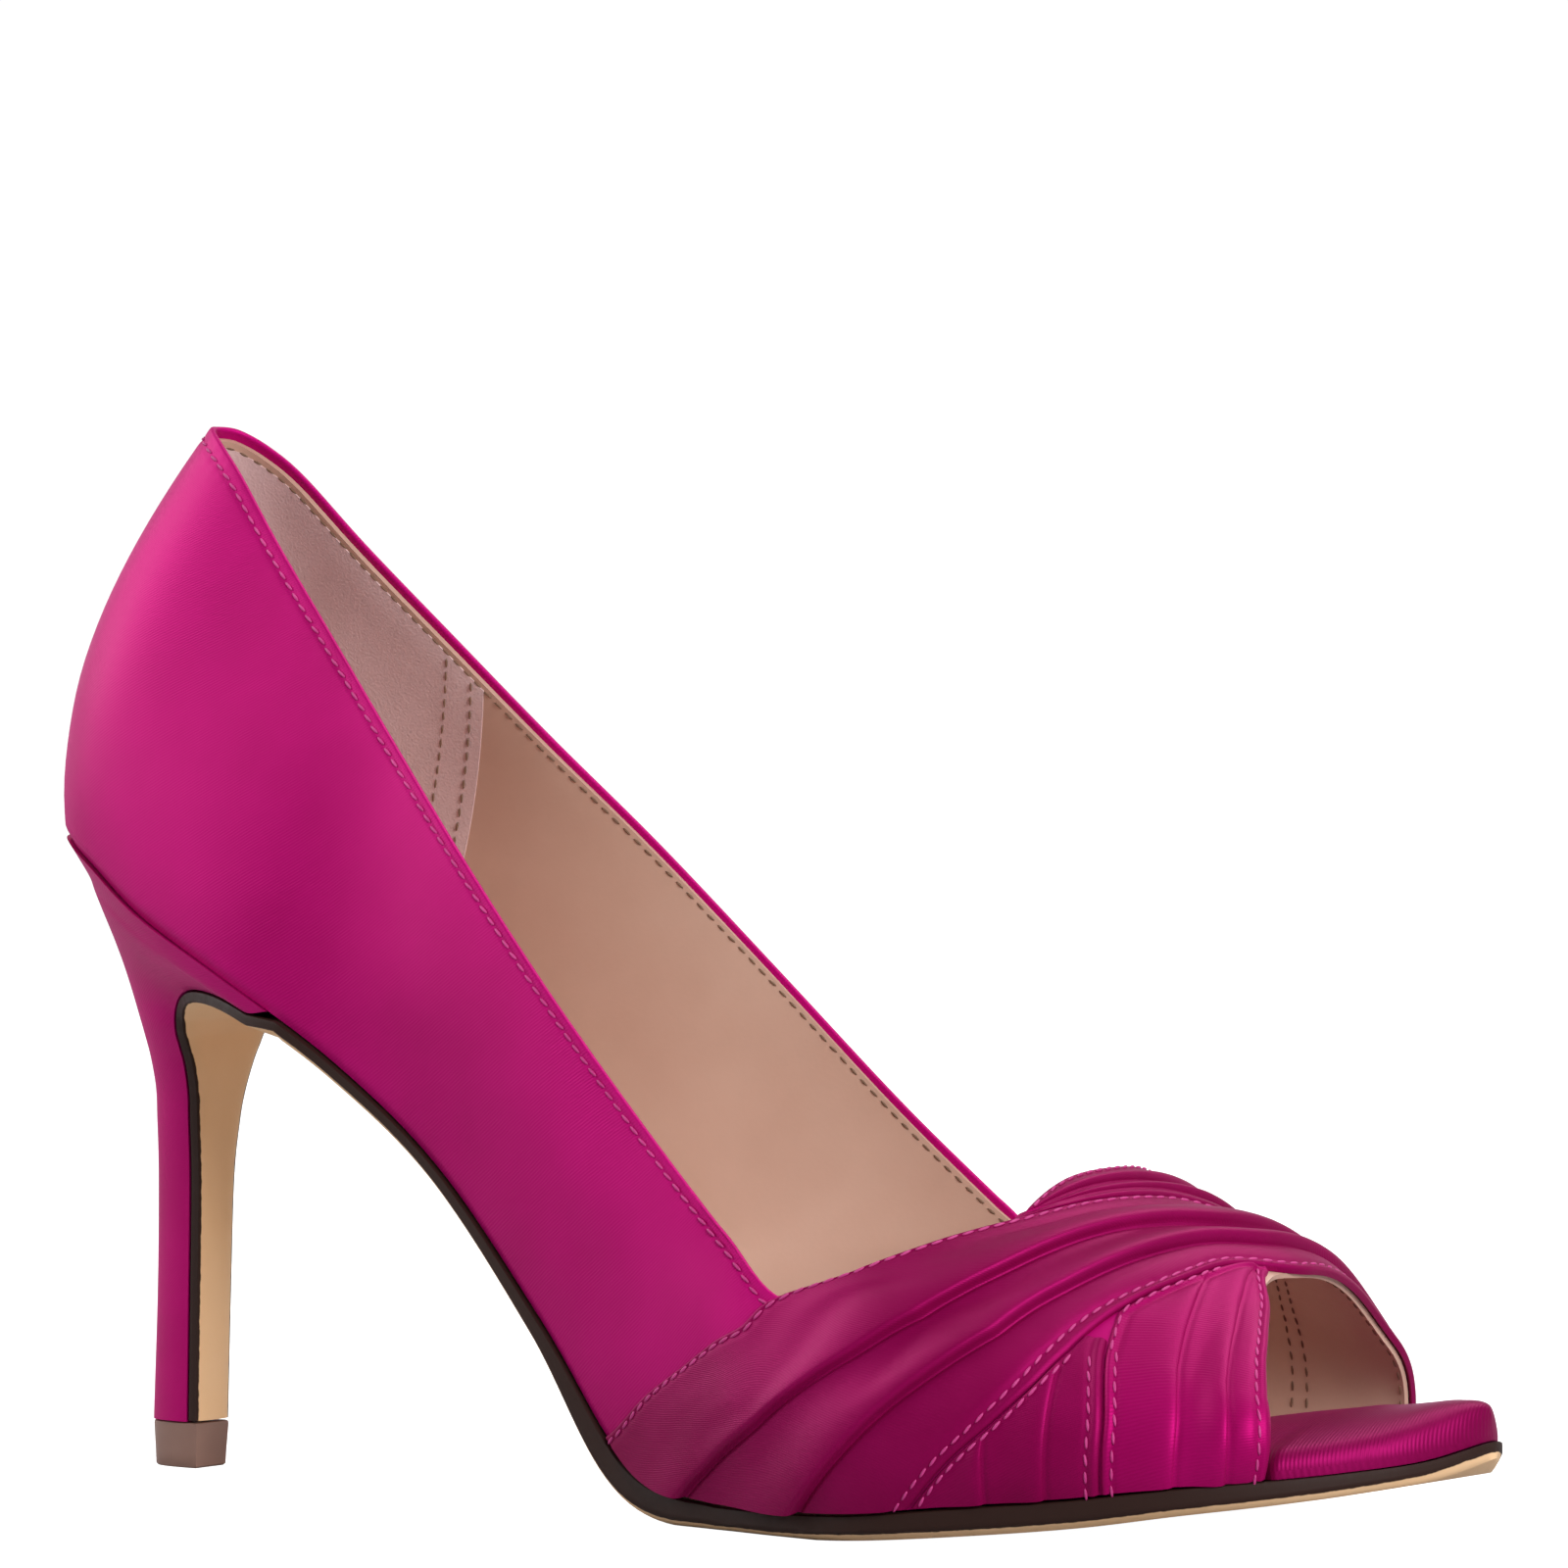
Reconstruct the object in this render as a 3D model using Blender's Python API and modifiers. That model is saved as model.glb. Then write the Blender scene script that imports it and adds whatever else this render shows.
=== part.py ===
"""A peep toe pump for the right foot, with a slim high heel and pleated bands crossed over the toes.

+X points to the toe, +Y to the wearer's left (the inner, medial side), +Z up.
The origin is the middle of the heel tip's flat underside, on the floor.
"""
import math

import bmesh
import bpy
import numpy as np

MM = 0.001

# Driving dimensions in millimetres
LENGTH = 222.0  # back of the seat to the tip of the toe, along the floor
BALL_WIDTH = 75.0  # across the feather line at the ball
HEEL_HEIGHT = 88.0  # floor to the feather line at the back
BACK_HEIGHT = 56.0  # height of the counter above the feather line
VAMP_HEIGHT = 49.0  # rise of the vamp's ridge above the feather line at the ball
TOE_SPRING = 10.6  # lift of the toe's feather line over the ball's
WALL = 1.6  # outer satin, stiffener and lining together
CLEARANCE = 0.3  # between pieces that meet
BAND_GAP = 0.5  # under the bands, where two curved walls lie together
SOLE_THICKNESS = 3.3
SOLE_GRIND = 0.2  # ground off flat where the ball rests
SOLE_EDGE = 0.6  # how far the sole stands out past the feather line
SOLE_BEVEL = 1.1  # bevel between the sole's side and its underside
BEVEL_RUN = 1.8  # how far the bevel reaches in from the side
FLAP_THICKNESS = 1.9  # the sole's flap down the front of the heel
INSOLE_THICKNESS = 2.8
TOE_CROWN = 2.6  # how much higher the padded insole stands in the middle of the open toe
TOE_ROLL = 7.0  # length over which the insole's front edge rolls down to the sole
TOE_ROLL_EDGE = 0.5  # share of the insole's height left at its very front
BAND_THICKNESS = 1.0  # pleated satin on its backing
PLEAT_DEPTH = 0.9  # rise of a pleat's folded edge over the valley ahead of it
HEEL_TIP_HEIGHT = 6.3
TIP_SETBACK = 0.5  # how far the heel tip's front stays behind the flap's
HEEL_TIP_WIDTH = 7.4
HEEL_TIP_TAPER = 0.3  # the tip's foot is this much smaller all round
SHARP_ANGLE = 40.0  # degrees between faces that meet in a hard edge

# The last, heel seat to toe tip. Along is a share of LENGTH, lateral and medial are shares of
# BALL_WIDTH, pitch is a share of the heel's lift, spring of TOE_SPRING, sole of SOLE_THICKNESS.
LAST = (
    # along, lateral, medial, pitch, spring, sole
    (0.000, 0.000, 0.000, 1.000, 0.00, 0.70),
    (0.009, 0.124, 0.124, 0.996, 0.00, 0.70),
    (0.029, 0.203, 0.203, 0.983, 0.00, 0.70),
    (0.059, 0.259, 0.259, 0.947, 0.00, 0.70),
    (0.108, 0.305, 0.305, 0.868, 0.00, 0.70),
    (0.180, 0.333, 0.327, 0.772, 0.00, 0.70),
    (0.260, 0.320, 0.300, 0.645, 0.00, 0.70),
    (0.340, 0.333, 0.267, 0.488, 0.00, 0.70),
    (0.425, 0.373, 0.253, 0.258, 0.00, 0.85),
    (0.497, 0.409, 0.282, 0.042, 0.00, 1.25),
    (0.570, 0.457, 0.353, 0.000, 0.00, 1.00),
    (0.617, 0.491, 0.413, 0.000, 0.00, 1.00),
    (0.675, 0.516, 0.473, 0.000, 0.05, 1.00),
    (0.743, 0.493, 0.490, 0.000, 0.20, 1.10),
    (0.810, 0.452, 0.472, 0.000, 0.35, 1.10),
    (0.865, 0.402, 0.434, 0.000, 0.51, 1.05),
    (0.910, 0.330, 0.362, 0.000, 0.61, 0.95),
    (0.946, 0.240, 0.250, 0.000, 0.70, 0.85),
    (0.976, 0.132, 0.115, 0.000, 0.81, 0.75),
    (0.995, -0.003, 0.003, 0.000, 1.00, 0.65),
)

# The side of the last up to the topline, and ahead of the throat's corner up to the vamp's
# shoulder, a row for each row of LAST. Rise is a share of BACK_HEIGHT, shoulder and ridge are
# shares of VAMP_HEIGHT, the widths and bellies are shares of BALL_WIDTH.
SIDE = (
    # along, lateral, medial, rise, shoulder, low belly, high belly, ridge across, ridge
    (0.092, 0.000, 0.000, 1.000, 0.00, 0.130, 0.107, 0.00, 1.60),
    (0.099, 0.043, 0.043, 0.998, 0.00, 0.127, 0.104, 0.00, 1.60),
    (0.115, 0.075, 0.075, 0.975, 0.00, 0.115, 0.093, 0.00, 1.60),
    (0.136, 0.100, 0.100, 0.955, 0.00, 0.100, 0.080, 0.00, 1.60),
    (0.174, 0.138, 0.138, 0.905, 0.00, 0.080, 0.064, 0.00, 1.60),
    (0.227, 0.190, 0.190, 0.830, 0.00, 0.062, 0.050, 0.00, 1.60),
    (0.286, 0.250, 0.250, 0.777, 0.00, 0.050, 0.042, 0.00, 1.60),
    (0.353, 0.320, 0.320, 0.745, 0.00, 0.042, 0.036, 0.00, 1.60),
    (0.430, 0.378, 0.378, 0.780, 0.00, 0.034, 0.034, 0.00, 1.55),
    (0.509, 0.422, 0.418, 0.800, 0.00, 0.034, 0.038, 0.00, 1.42),
    (0.572, 0.460, 0.450, 0.640, 0.00, 0.040, 0.042, 0.00, 1.27),
    (0.617, 0.480, 0.466, 0.490, 0.00, 0.044, 0.046, 0.01, 1.14),
    (0.675, 0.473, 0.450, 0.000, 0.53, 0.052, 0.058, 0.02, 1.00),
    (0.743, 0.440, 0.447, 0.000, 0.44, 0.056, 0.060, 0.03, 0.807),
    (0.810, 0.390, 0.420, 0.000, 0.36, 0.050, 0.056, 0.05, 0.648),
    (0.865, 0.333, 0.375, 0.000, 0.28, 0.042, 0.050, 0.06, 0.503),
    (0.910, 0.261, 0.300, 0.000, 0.20, 0.034, 0.042, 0.06, 0.362),
)

# The heel, tip to seat. Each row is one ring: its two front corners, which the sole's flap
# follows, and the middle of its back. Along is a share of LENGTH, wide of BALL_WIDTH, and
# the heights are shares of HEEL_HEIGHT.
HEEL = (
    # front along, front height, wide, back along, back height
    (0.0800, 0.075, 0.050, 0.0440, 0.075),
    (0.0820, 0.284, 0.052, 0.0475, 0.284),
    (0.0838, 0.455, 0.055, 0.0485, 0.455),
    (0.0856, 0.545, 0.066, 0.0484, 0.547),
    (0.0874, 0.591, 0.075, 0.0482, 0.597),
    (0.0892, 0.636, 0.093, 0.0459, 0.645),
    (0.0901, 0.665, 0.111, 0.0432, 0.682),
    (0.0914, 0.693, 0.129, 0.0405, 0.716),
    (0.0968, 0.725, 0.149, 0.0360, 0.757),
    (0.1104, 0.750, 0.184, 0.0315, 0.801),
    (0.1306, 0.760, 0.227, 0.0261, 0.847),
    (0.1554, 0.757, 0.271, 0.0198, 0.892),
    (0.1779, 0.746, 0.304, 0.0135, 0.932),
    (0.1959, 0.731, 0.322, 0.0068, 0.969),
)

# The crossed bands. Each row crosses the foot at a turn, from the side where the band starts:
# 0 and 4 on the feather line, 2 on the ridge. The columns are shares of LENGTH.
OUTER_BAND = (
    # turn, rear edge, first valley, second valley, front edge
    (0.00, 0.478, 0.545, 0.638, 0.712),
    (0.25, 0.512, 0.593, 0.669, 0.737),
    (0.50, 0.560, 0.631, 0.698, 0.763),
    (0.75, 0.596, 0.676, 0.728, 0.783),
    (1.00, 0.619, 0.711, 0.757, 0.798),
    (1.10, 0.663, 0.728, 0.769, 0.806),
    (1.25, 0.700, 0.750, 0.787, 0.818),
    (1.50, 0.738, 0.776, 0.808, 0.836),
    (1.75, 0.758, 0.797, 0.823, 0.853),
    (2.00, 0.772, 0.815, 0.839, 0.864),
    (2.25, 0.787, 0.823, 0.845, 0.866),
    (2.50, 0.800, 0.829, 0.849, 0.866),
    (3.00, 0.811, 0.829, 0.847, 0.862),
    (3.50, 0.804, 0.822, 0.841, 0.856),
    (4.00, 0.800, 0.819, 0.838, 0.854),
)
UNDER_BAND = (
    # turn, rear edge, front edge
    (0.00, 0.477, 0.703),
    (0.50, 0.565, 0.759),
    (1.00, 0.619, 0.804),
    (1.25, 0.676, 0.826),
    (1.50, 0.712, 0.840),
    (1.75, 0.731, 0.845),
    (2.00, 0.736, 0.850),
    (2.25, 0.734, 0.850),
    (2.60, 0.735, 0.850),
)
# The open toe's rim, and the rear edge of the under band's end panel beside it
RIM = (
    # turn, rim, panel rear edge
    (0.00, 0.909, 0.827),
    (0.50, 0.906, 0.826),
    (1.00, 0.901, 0.818),
    (1.25, 0.893, 0.814),
    (1.50, 0.879, 0.810),
    (1.70, 0.866, 0.806),
    (1.85, 0.861, 0.804),
    (2.00, 0.864, 0.804),
    (2.50, 0.866, 0.804),
    (3.00, 0.862, 0.804),
    (3.50, 0.856, 0.804),
    (4.00, 0.854, 0.804),
)

# The insole across its width, lateral edge to medial edge, rounded over at both
INSOLE_SECTION = (
    # share of the width, share of INSOLE_THICKNESS, share of TOE_CROWN
    (0.00, 0.60, 0.00),
    (0.08, 1.00, 0.35),
    (0.35, 1.00, 1.00),
    (0.65, 1.00, 1.00),
    (0.92, 1.00, 0.35),
    (1.00, 0.60, 0.00),
)

# A pleat across its width, from the valley behind it to its own folded front edge
PLEAT_PROFILE = (
    # share of the pleat's width, share of its roll
    (0.03, 0.00),
    (0.45, 0.40),
    (0.84, 1.00),
    (0.97, 0.35),
)

SHOULDER_FULLNESS = 0.38  # length of the vamp's handles over the toes, as a share of their span
FOLD_ROOM = 0.5  # least width of a pleat
EDGE_SETBACK = 0.5  # the upper's wall ends this far inside the bands' edges
BAND_FOOT = 0.03  # turn at which a band ends just above the sole
UNDER_TOP = 1.62  # turn at which the under band has gone out of sight below the outer band
PANEL_TOP = 1.62  # turn at which the end panel closes against the outer band
FILLER_TOP = 1.03  # turn at which a filler closes, counted from its own side
UNDER_FOLDS = (0.45, 0.75)  # folds between pleats, as shares of the piece's width
PANEL_FOLDS = (0.47, 0.79)
MEDIAL_FOLD = 0.55
LATERAL_FOLD = 0.795  # the lateral filler's fold, as a share of LENGTH
UNDERSIDE_ROWS = (0.36, 0.64)  # inner rows of the sole's underside, as shares of its width
BEVEL_LIMIT = 0.3  # most of the sole's width that one bevel may take
INSOLE_SLACK = 0.3  # room beside the insole inside the upper
INSOLE_SHOULDER = 1.2  # length over which the insole widens ahead of the upper
SOCK_FRONT = 0.76  # share of LENGTH where the satin toe cover takes over from the leather sock

# Rows of LAST that the mesh has a ring on. Pieces that lie on each other share them. The topline
# meets the crossed bands at the last of SHANK_ROWS.
SEAT_ROWS = (0.0, 0.5, 1.0, 1.5, 2.0, 2.5, 3.0, 3.5, 4.0, 4.7, 5.4)
SHANK_ROWS = (6.1, 6.8, 7.5, 8.2, 9.0, 9.7, 10.4, 11.0)
TOE_ROWS = (16.6, 17.1, 17.6, 18.1, 18.5, 18.8, 19.0)
BACK_FACE = 0.15  # row of the narrow flat at the very back of the heel and the insole
FLAP_ROW = 5.5  # row where the sole leaves the last to follow the heel's front
SLOPE_STEP = 0.02  # step in rows and turns over which a surface's direction is measured
UP_STEPS = 6  # faces up each side, feather line to topline
OVER_STEPS = 20  # faces over the vamp between the two shoulders
FRONT_STEPS = 11  # faces from the throat to the open toe

MATERIALS = {
    # name: colour, roughness
    "magenta_satin": ((0.45, 0.010, 0.075), 0.38),
    "beige_leather": ((0.62, 0.50, 0.42), 0.55),
    "sole_leather": ((0.48, 0.30, 0.19), 0.50),
    "heel_tip_rubber": ((0.055, 0.022, 0.018), 0.45),
}


def spline(table, t):
    """Catmull-Rom curve through a table's rows at the row number t, rows and fractions of rows."""
    last = len(table) - 1
    i = min(max(int(math.floor(t)), 0), last - 1)
    f = t - i
    p1 = table[i]
    p2 = table[i + 1]
    p0 = table[i - 1] if i > 0 else round_end(table, 1)
    p3 = table[i + 2] if i + 2 <= last else round_end(table, last - 1)
    a = 2.0 * p1
    b = p2 - p0
    c = 2.0 * p0 - 5.0 * p1 + 4.0 * p2 - p3
    d = 3.0 * p1 - p0 - 3.0 * p2 + p3
    return 0.5 * (a + b * f + c * f * f + d * f ** 3)


def round_end(table, row):
    """The row past a round end: the outline goes on along its other side."""
    other = table[row].copy()
    other[1] = -table[row][2]
    other[2] = -table[row][1]
    return other


def arrays(rows):
    """A table of shares as a list of arrays that the spline can blend."""
    return [np.array(row, dtype=float) for row in rows]


LAST_ROWS = arrays(LAST)
SIDE_ROWS = arrays(SIDE)
FEATHER_AT_BALL = SOLE_THICKNESS - SOLE_GRIND + CLEARANCE
TIP_FRONT = HEEL[0][0] * LENGTH + CLEARANCE + FLAP_THICKNESS - TIP_SETBACK
TIP_BACK = HEEL[0][3] * LENGTH
HEEL_TIP_X = (TIP_FRONT + TIP_BACK) / 2  # middle of the heel tip on the last


def row_at(along):
    """The row number of LAST where the outline has come this share of the length."""
    low = 0.0
    high = len(LAST) - 1.0
    for _ in range(40):
        middle = (low + high) / 2
        if spline(LAST_ROWS, middle)[0] < along:
            low = middle
        else:
            high = middle
    return (low + high) / 2


def feather(t, side, inset=0.0):
    """A point on the feather line, where the upper meets the sole. Side is -1 lateral, 1 medial.

    A positive inset moves it into the shoe along the seat and shank, a negative one outwards.
    """
    here = spline(LAST_ROWS, t)
    column = 1 if side < 0 else 2
    before = spline(LAST_ROWS, max(t - SLOPE_STEP, 0.0))
    after = spline(LAST_ROWS, min(t + SLOPE_STEP, len(LAST) - 1.0))
    run = (after[0] - before[0]) * LENGTH
    spread = (after[column] - before[column]) * BALL_WIDTH
    size = math.hypot(run, spread)
    moved = inset * spread / size
    y = here[column] * BALL_WIDTH - inset * run / size
    pitch = here[3] + (after[3] - before[3]) / run * moved
    lift = pitch * (HEEL_HEIGHT - FEATHER_AT_BALL) + max(here[4], 0.0) * TOE_SPRING
    return np.array([here[0] * LENGTH + moved, side * y, FEATHER_AT_BALL + max(lift, 0.0)])


def bezier(p0, p1, p2, p3, s):
    """A point on a cubic curve."""
    r = 1.0 - s
    return r ** 3 * p0 + 3 * r * r * s * p1 + 3 * r * s * s * p2 + s ** 3 * p3


def outward(t, side):
    """The flat direction out of the last at the feather line."""
    way = feather(t, side, -1.0) - feather(t, side)
    way[2] = 0.0
    return way / np.linalg.norm(way)


def side_handles(t, side):
    """The cubic from the feather line up the side, to the topline or to the vamp's shoulder."""
    column = 1 if side < 0 else 2
    here = spline(SIDE_ROWS, t)
    low = feather(t, side)
    rise = here[3] * BACK_HEIGHT + here[4] * VAMP_HEIGHT
    high = np.array([here[0] * LENGTH, side * here[column] * BALL_WIDTH, low[2] + rise])
    out = outward(t, side)
    third = (high - low) / 3
    return low, low + third + out * here[5] * BALL_WIDTH, high - third + out * here[6] * BALL_WIDTH, high


def last_point(t, turn):
    """A point on the outside of the upper at a row number.

    Turn goes round the foot: 0 at the lateral feather line, 1 at the topline or shoulder,
    2 on the ridge, 3 at the medial topline or shoulder and 4 at the medial feather line.
    """
    side = -1 if turn <= 2 else 1
    up = turn if turn <= 2 else 4 - turn
    low, near_low, near_high, high = side_handles(t, side)
    if up <= 1:
        return bezier(low, near_low, near_high, high, up)
    here = spline(SIDE_ROWS, t)
    ridge = np.array([high[0], here[7] * BALL_WIDTH, low[2] + here[8] * VAMP_HEIGHT])
    reach = np.linalg.norm(ridge - high) * SHOULDER_FULLNESS
    leaving = (high - near_high) / np.linalg.norm(high - near_high)
    arriving = np.array([0.0, side * reach, 0.0])
    return bezier(high, high + leaving * reach, ridge + arriving, ridge, up - 1)


def last_normal(t, turn):
    """The direction out of the upper at a point of it."""
    t_low = max(t - SLOPE_STEP, 0.0)
    t_high = min(t + SLOPE_STEP, len(SIDE) - 1.0)
    ahead = last_point(t_high, turn) - last_point(t_low, turn)
    turn_low = max(turn - SLOPE_STEP, 0.0)
    turn_high = min(turn + SLOPE_STEP, 4.0)
    across = last_point(t, turn_high) - last_point(t, turn_low)
    way = np.cross(across, ahead)
    way /= np.linalg.norm(way)
    middle = last_point(t, turn) - np.array([last_point(t, 2)[0], 0.0, feather(t, 1)[2]])
    return way if way @ middle > 0 else -way


def edge_at(table, turn, column):
    """A band table's column at a turn, in millimetres along the last, with no overshoot."""
    for low, high in zip(table, table[1:]):
        if turn <= high[0]:
            f = max(turn - low[0], 0.0) / (high[0] - low[0])
            return (low[column] + (high[column] - low[column]) * f) * LENGTH
    return table[-1][column] * LENGTH


def outer_edge(turn, column):
    """An edge or valley of the outer band, which starts on the lateral side."""
    return edge_at(OUTER_BAND, turn, column)


def under_edge(turn, column):
    """An edge of the under band, which starts on the medial side."""
    return edge_at(UNDER_BAND, 4 - turn, column)


def throat_edge(turn):
    """Where the upper ends at the throat, under the rear edges of the two bands."""
    if turn <= 1 or turn >= 3:
        return spline(LAST_ROWS, SHANK_ROWS[-1])[0] * LENGTH
    return min(outer_edge(turn, 1), under_edge(turn, 1))


def rim_edge(turn):
    """Where the upper ends at the open toe."""
    return edge_at(RIM, turn, 1)


def place(points):
    """From the last, in millimetres, to the world, in metres, with the heel tip at the origin."""
    moved = np.array(points, dtype=float)
    moved[..., 0] -= HEEL_TIP_X
    return moved * MM


def material(name):
    """One finish, made once."""
    if name in bpy.data.materials:
        return bpy.data.materials[name]
    colour, roughness = MATERIALS[name]
    finish = bpy.data.materials.new(name)
    finish.use_nodes = True
    shader = finish.node_tree.nodes["Principled BSDF"]
    shader.inputs["Base Color"].default_value = (*colour, 1.0)
    shader.inputs["Roughness"].default_value = roughness
    shader.inputs["Metallic"].default_value = 0.0
    finish.diffuse_color = (*colour, 1.0)
    return finish


def add_object(name, mesh, finish):
    """Put a mesh in the pump's collection, smooth but for its sharp edges."""
    piece = bpy.data.objects.new(name, mesh)
    bpy.data.collections["peep_toe_pump"].objects.link(piece)
    mesh.materials.append(material(finish))
    mesh.shade_smooth()
    mesh.set_sharp_from_angle(angle=math.radians(SHARP_ANGLE))
    return piece


def loft(name, rings, finish):
    """A closed solid through rings of points. Each ring runs out along one side and back along
    the other, so that its ends are closed by strips between its two sides."""
    count = len(rings[0])
    mesh = bpy.data.meshes.new(name)
    bm = bmesh.new()
    rows = [[bm.verts.new(point) for point in place(ring)] for ring in rings]
    for low, high in zip(rows, rows[1:]):
        for i in range(count):
            j = (i + 1) % count
            bm.faces.new((low[i], low[j], high[j], high[i]))
    for row in (rows[0], rows[-1]):
        for i in range(count // 2 - 1):
            bm.faces.new((row[i], row[i + 1], row[count - 2 - i], row[count - 1 - i]))
    bmesh.ops.recalc_face_normals(bm, faces=bm.faces)
    bm.to_mesh(mesh)
    bm.free()
    return add_object(name, mesh, finish)


def blend(low, high, share):
    """A point a share of the way from one to the other."""
    return low + (high - low) * share


def make_upper():
    """Quarters and vamp in one hollow wall, open at the collar, at the toe and underneath."""
    mesh = bpy.data.meshes.new("upper")
    bm = bmesh.new()
    lateral = [i / UP_STEPS for i in range(UP_STEPS + 1)]
    medial = [4 - turn for turn in lateral]
    columns = []
    quarter_rows = SEAT_ROWS + SHANK_ROWS
    for t in reversed(quarter_rows):
        columns.append([last_point(t, turn) for turn in lateral])
    for t in quarter_rows[1:]:
        columns.append([last_point(t, turn) for turn in medial])
    add_grid(bm, columns)
    over = [1 + 2 * i / OVER_STEPS for i in range(OVER_STEPS + 1)]
    turns = lateral + over[1:-1] + list(reversed(medial))
    rows = []
    for k in range(FRONT_STEPS + 1):
        row = []
        for turn in turns:
            along = blend(throat_edge(turn), rim_edge(turn) - EDGE_SETBACK, k / FRONT_STEPS)
            if k == 0 and 1 < turn < 3:
                along += EDGE_SETBACK
            row.append(last_point(row_at(along / LENGTH), turn))
        rows.append(row)
    add_grid(bm, rows)
    bmesh.ops.remove_doubles(bm, verts=bm.verts, dist=0.00001)
    bmesh.ops.recalc_face_normals(bm, faces=bm.faces)
    if sum(face.normal.y * face.calc_center_median().y for face in bm.faces) < 0:
        bmesh.ops.reverse_faces(bm, faces=bm.faces)
    bm.to_mesh(mesh)
    bm.free()
    upper = add_object("upper", mesh, "magenta_satin")
    wall = upper.modifiers.new("wall", "SOLIDIFY")
    wall.thickness = WALL * MM
    wall.offset = -1.0
    wall.use_even_offset = True
    return upper


def add_grid(bm, rows):
    """Quads between rows of points."""
    grid = [[bm.verts.new(point) for point in place(row)] for row in rows]
    for low, high in zip(grid, grid[1:]):
        for i in range(len(low) - 1):
            bm.faces.new((low[i], low[i + 1], high[i + 1], high[i]))


def make_band(name, turns, edges, valleys, thickness, roll, finish="magenta_satin"):
    """A band of satin laid on the upper: edges gives its rear and front at a turn, and valleys
    the folds between its pleats. Each pleat rises forwards and is folded down at its front edge."""
    rings = []
    for turn in turns:
        rear, front = edges(turn)
        folds = [min(max(fold(turn), rear + FOLD_ROOM), front - FOLD_ROOM) for fold in valleys]
        folds = [rear] + folds + [front]
        under = []
        top = []
        for low, high in zip(folds, folds[1:]):
            for share, height in PLEAT_PROFILE:
                along = blend(low, high, share)
                t = row_at(along / LENGTH)
                base = last_point(t, turn)
                way = last_normal(t, turn)
                under.append(base + way * BAND_GAP)
                top.append(base + way * (BAND_GAP + thickness + roll * height))
        rings.append(under + list(reversed(top)))
    return loft(name, rings, finish)


def front_rows():
    """Rows ahead of the throat's corner where the upper's lateral foot has a ring."""
    start = throat_edge(0.0)
    end = rim_edge(0.0) - EDGE_SETBACK
    return [row_at(along / LENGTH) for along in steps(start, end, FRONT_STEPS)[1:]]


def steps(low, high, count):
    """Evenly spaced values, ends included."""
    return [blend(low, high, i / count) for i in range(count + 1)]


def make_bands():
    """The outer band, the under band where it shows behind it, its end panel and two fillers."""
    gap = CLEARANCE

    def outer(turn):
        return outer_edge(turn, 1), min(outer_edge(turn, 4), rim_edge(turn))

    def under(turn):
        return under_edge(turn, 1), min(under_edge(turn, 2), outer_edge(turn, 1) - gap)

    def panel(turn):
        rear = max(edge_at(RIM, turn, 2), outer_edge(turn, 4) + gap)
        return rear, rim_edge(turn)

    def lateral_filler(turn):
        return outer_edge(turn, 4) + gap, edge_at(RIM, turn, 2) - gap

    def medial_filler(turn):
        return under_edge(turn, 2) + gap, outer_edge(turn, 1) - gap

    def share_of(edges, share):
        return lambda turn: blend(*edges(turn), share)

    lateral_foot = BAND_FOOT
    medial_foot = 4 - BAND_FOOT
    make_band("band_outer", steps(lateral_foot, medial_foot, 40), outer,
              [lambda turn: outer_edge(turn, 2), lambda turn: outer_edge(turn, 3)],
              BAND_THICKNESS, PLEAT_DEPTH)
    make_band("band_under", steps(UNDER_TOP, medial_foot, 20), under,
              [share_of(under, share) for share in UNDER_FOLDS], BAND_THICKNESS, PLEAT_DEPTH / 2)
    make_band("end_panel", steps(lateral_foot, PANEL_TOP, 12), panel,
              [share_of(panel, share) for share in PANEL_FOLDS], BAND_THICKNESS / 2, PLEAT_DEPTH / 2)
    make_band("filler_lateral", steps(lateral_foot, FILLER_TOP, 8), lateral_filler,
              [lambda turn: LATERAL_FOLD * LENGTH], BAND_THICKNESS / 2, PLEAT_DEPTH / 2)
    make_band("filler_medial", steps(4 - FILLER_TOP, medial_foot, 8), medial_filler,
              [share_of(medial_filler, MEDIAL_FOLD)], BAND_THICKNESS / 2, PLEAT_DEPTH / 2)


def outsole_ring(left, right, way, thickness):
    """One ring of the outsole between its two top edges: side walls, a bevel and the underside.
    Way points down out of the sole, square to it."""
    width = np.linalg.norm(right - left)
    inner = min(BEVEL_RUN / width, BEVEL_LIMIT)
    shares = (0.0, inner, *UNDERSIDE_ROWS, 1 - inner, 1.0)
    top = [blend(left, right, share) for share in shares]
    depths = [thickness - SOLE_BEVEL, thickness, thickness, thickness, thickness, thickness - SOLE_BEVEL]
    under = [point + way * depth for point, depth in zip(top, depths)]
    for point in under:
        point[2] = max(point[2], 0.0)
    return top + list(reversed(under))


def ring_of_sides(half):
    """A ring from one side's points: out along the lateral side, back along the medial one."""
    lateral = [half(-1, t) for t in heel_rows()]
    medial = [half(1, t) for t in heel_rows()]
    return lateral + list(reversed(medial))


def heel_rows():
    """The rows round one side of a heel ring, front to back."""
    return list(reversed(SEAT_ROWS[1:])) + [BACK_FACE]


def seat_point(side, t):
    """A point of the heel's last ring, on the feather line round the seat."""
    point = feather(t, side)
    point[2] -= CLEARANCE
    return point


def round_back(t):
    """How far a heel ring has turned at a row of the seat: 0 at its front, near 90 degrees at its back."""
    seat_front = spline(LAST_ROWS, SEAT_ROWS[-1])[0]
    return math.asin(1 - spline(LAST_ROWS, t)[0] / seat_front)


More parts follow.
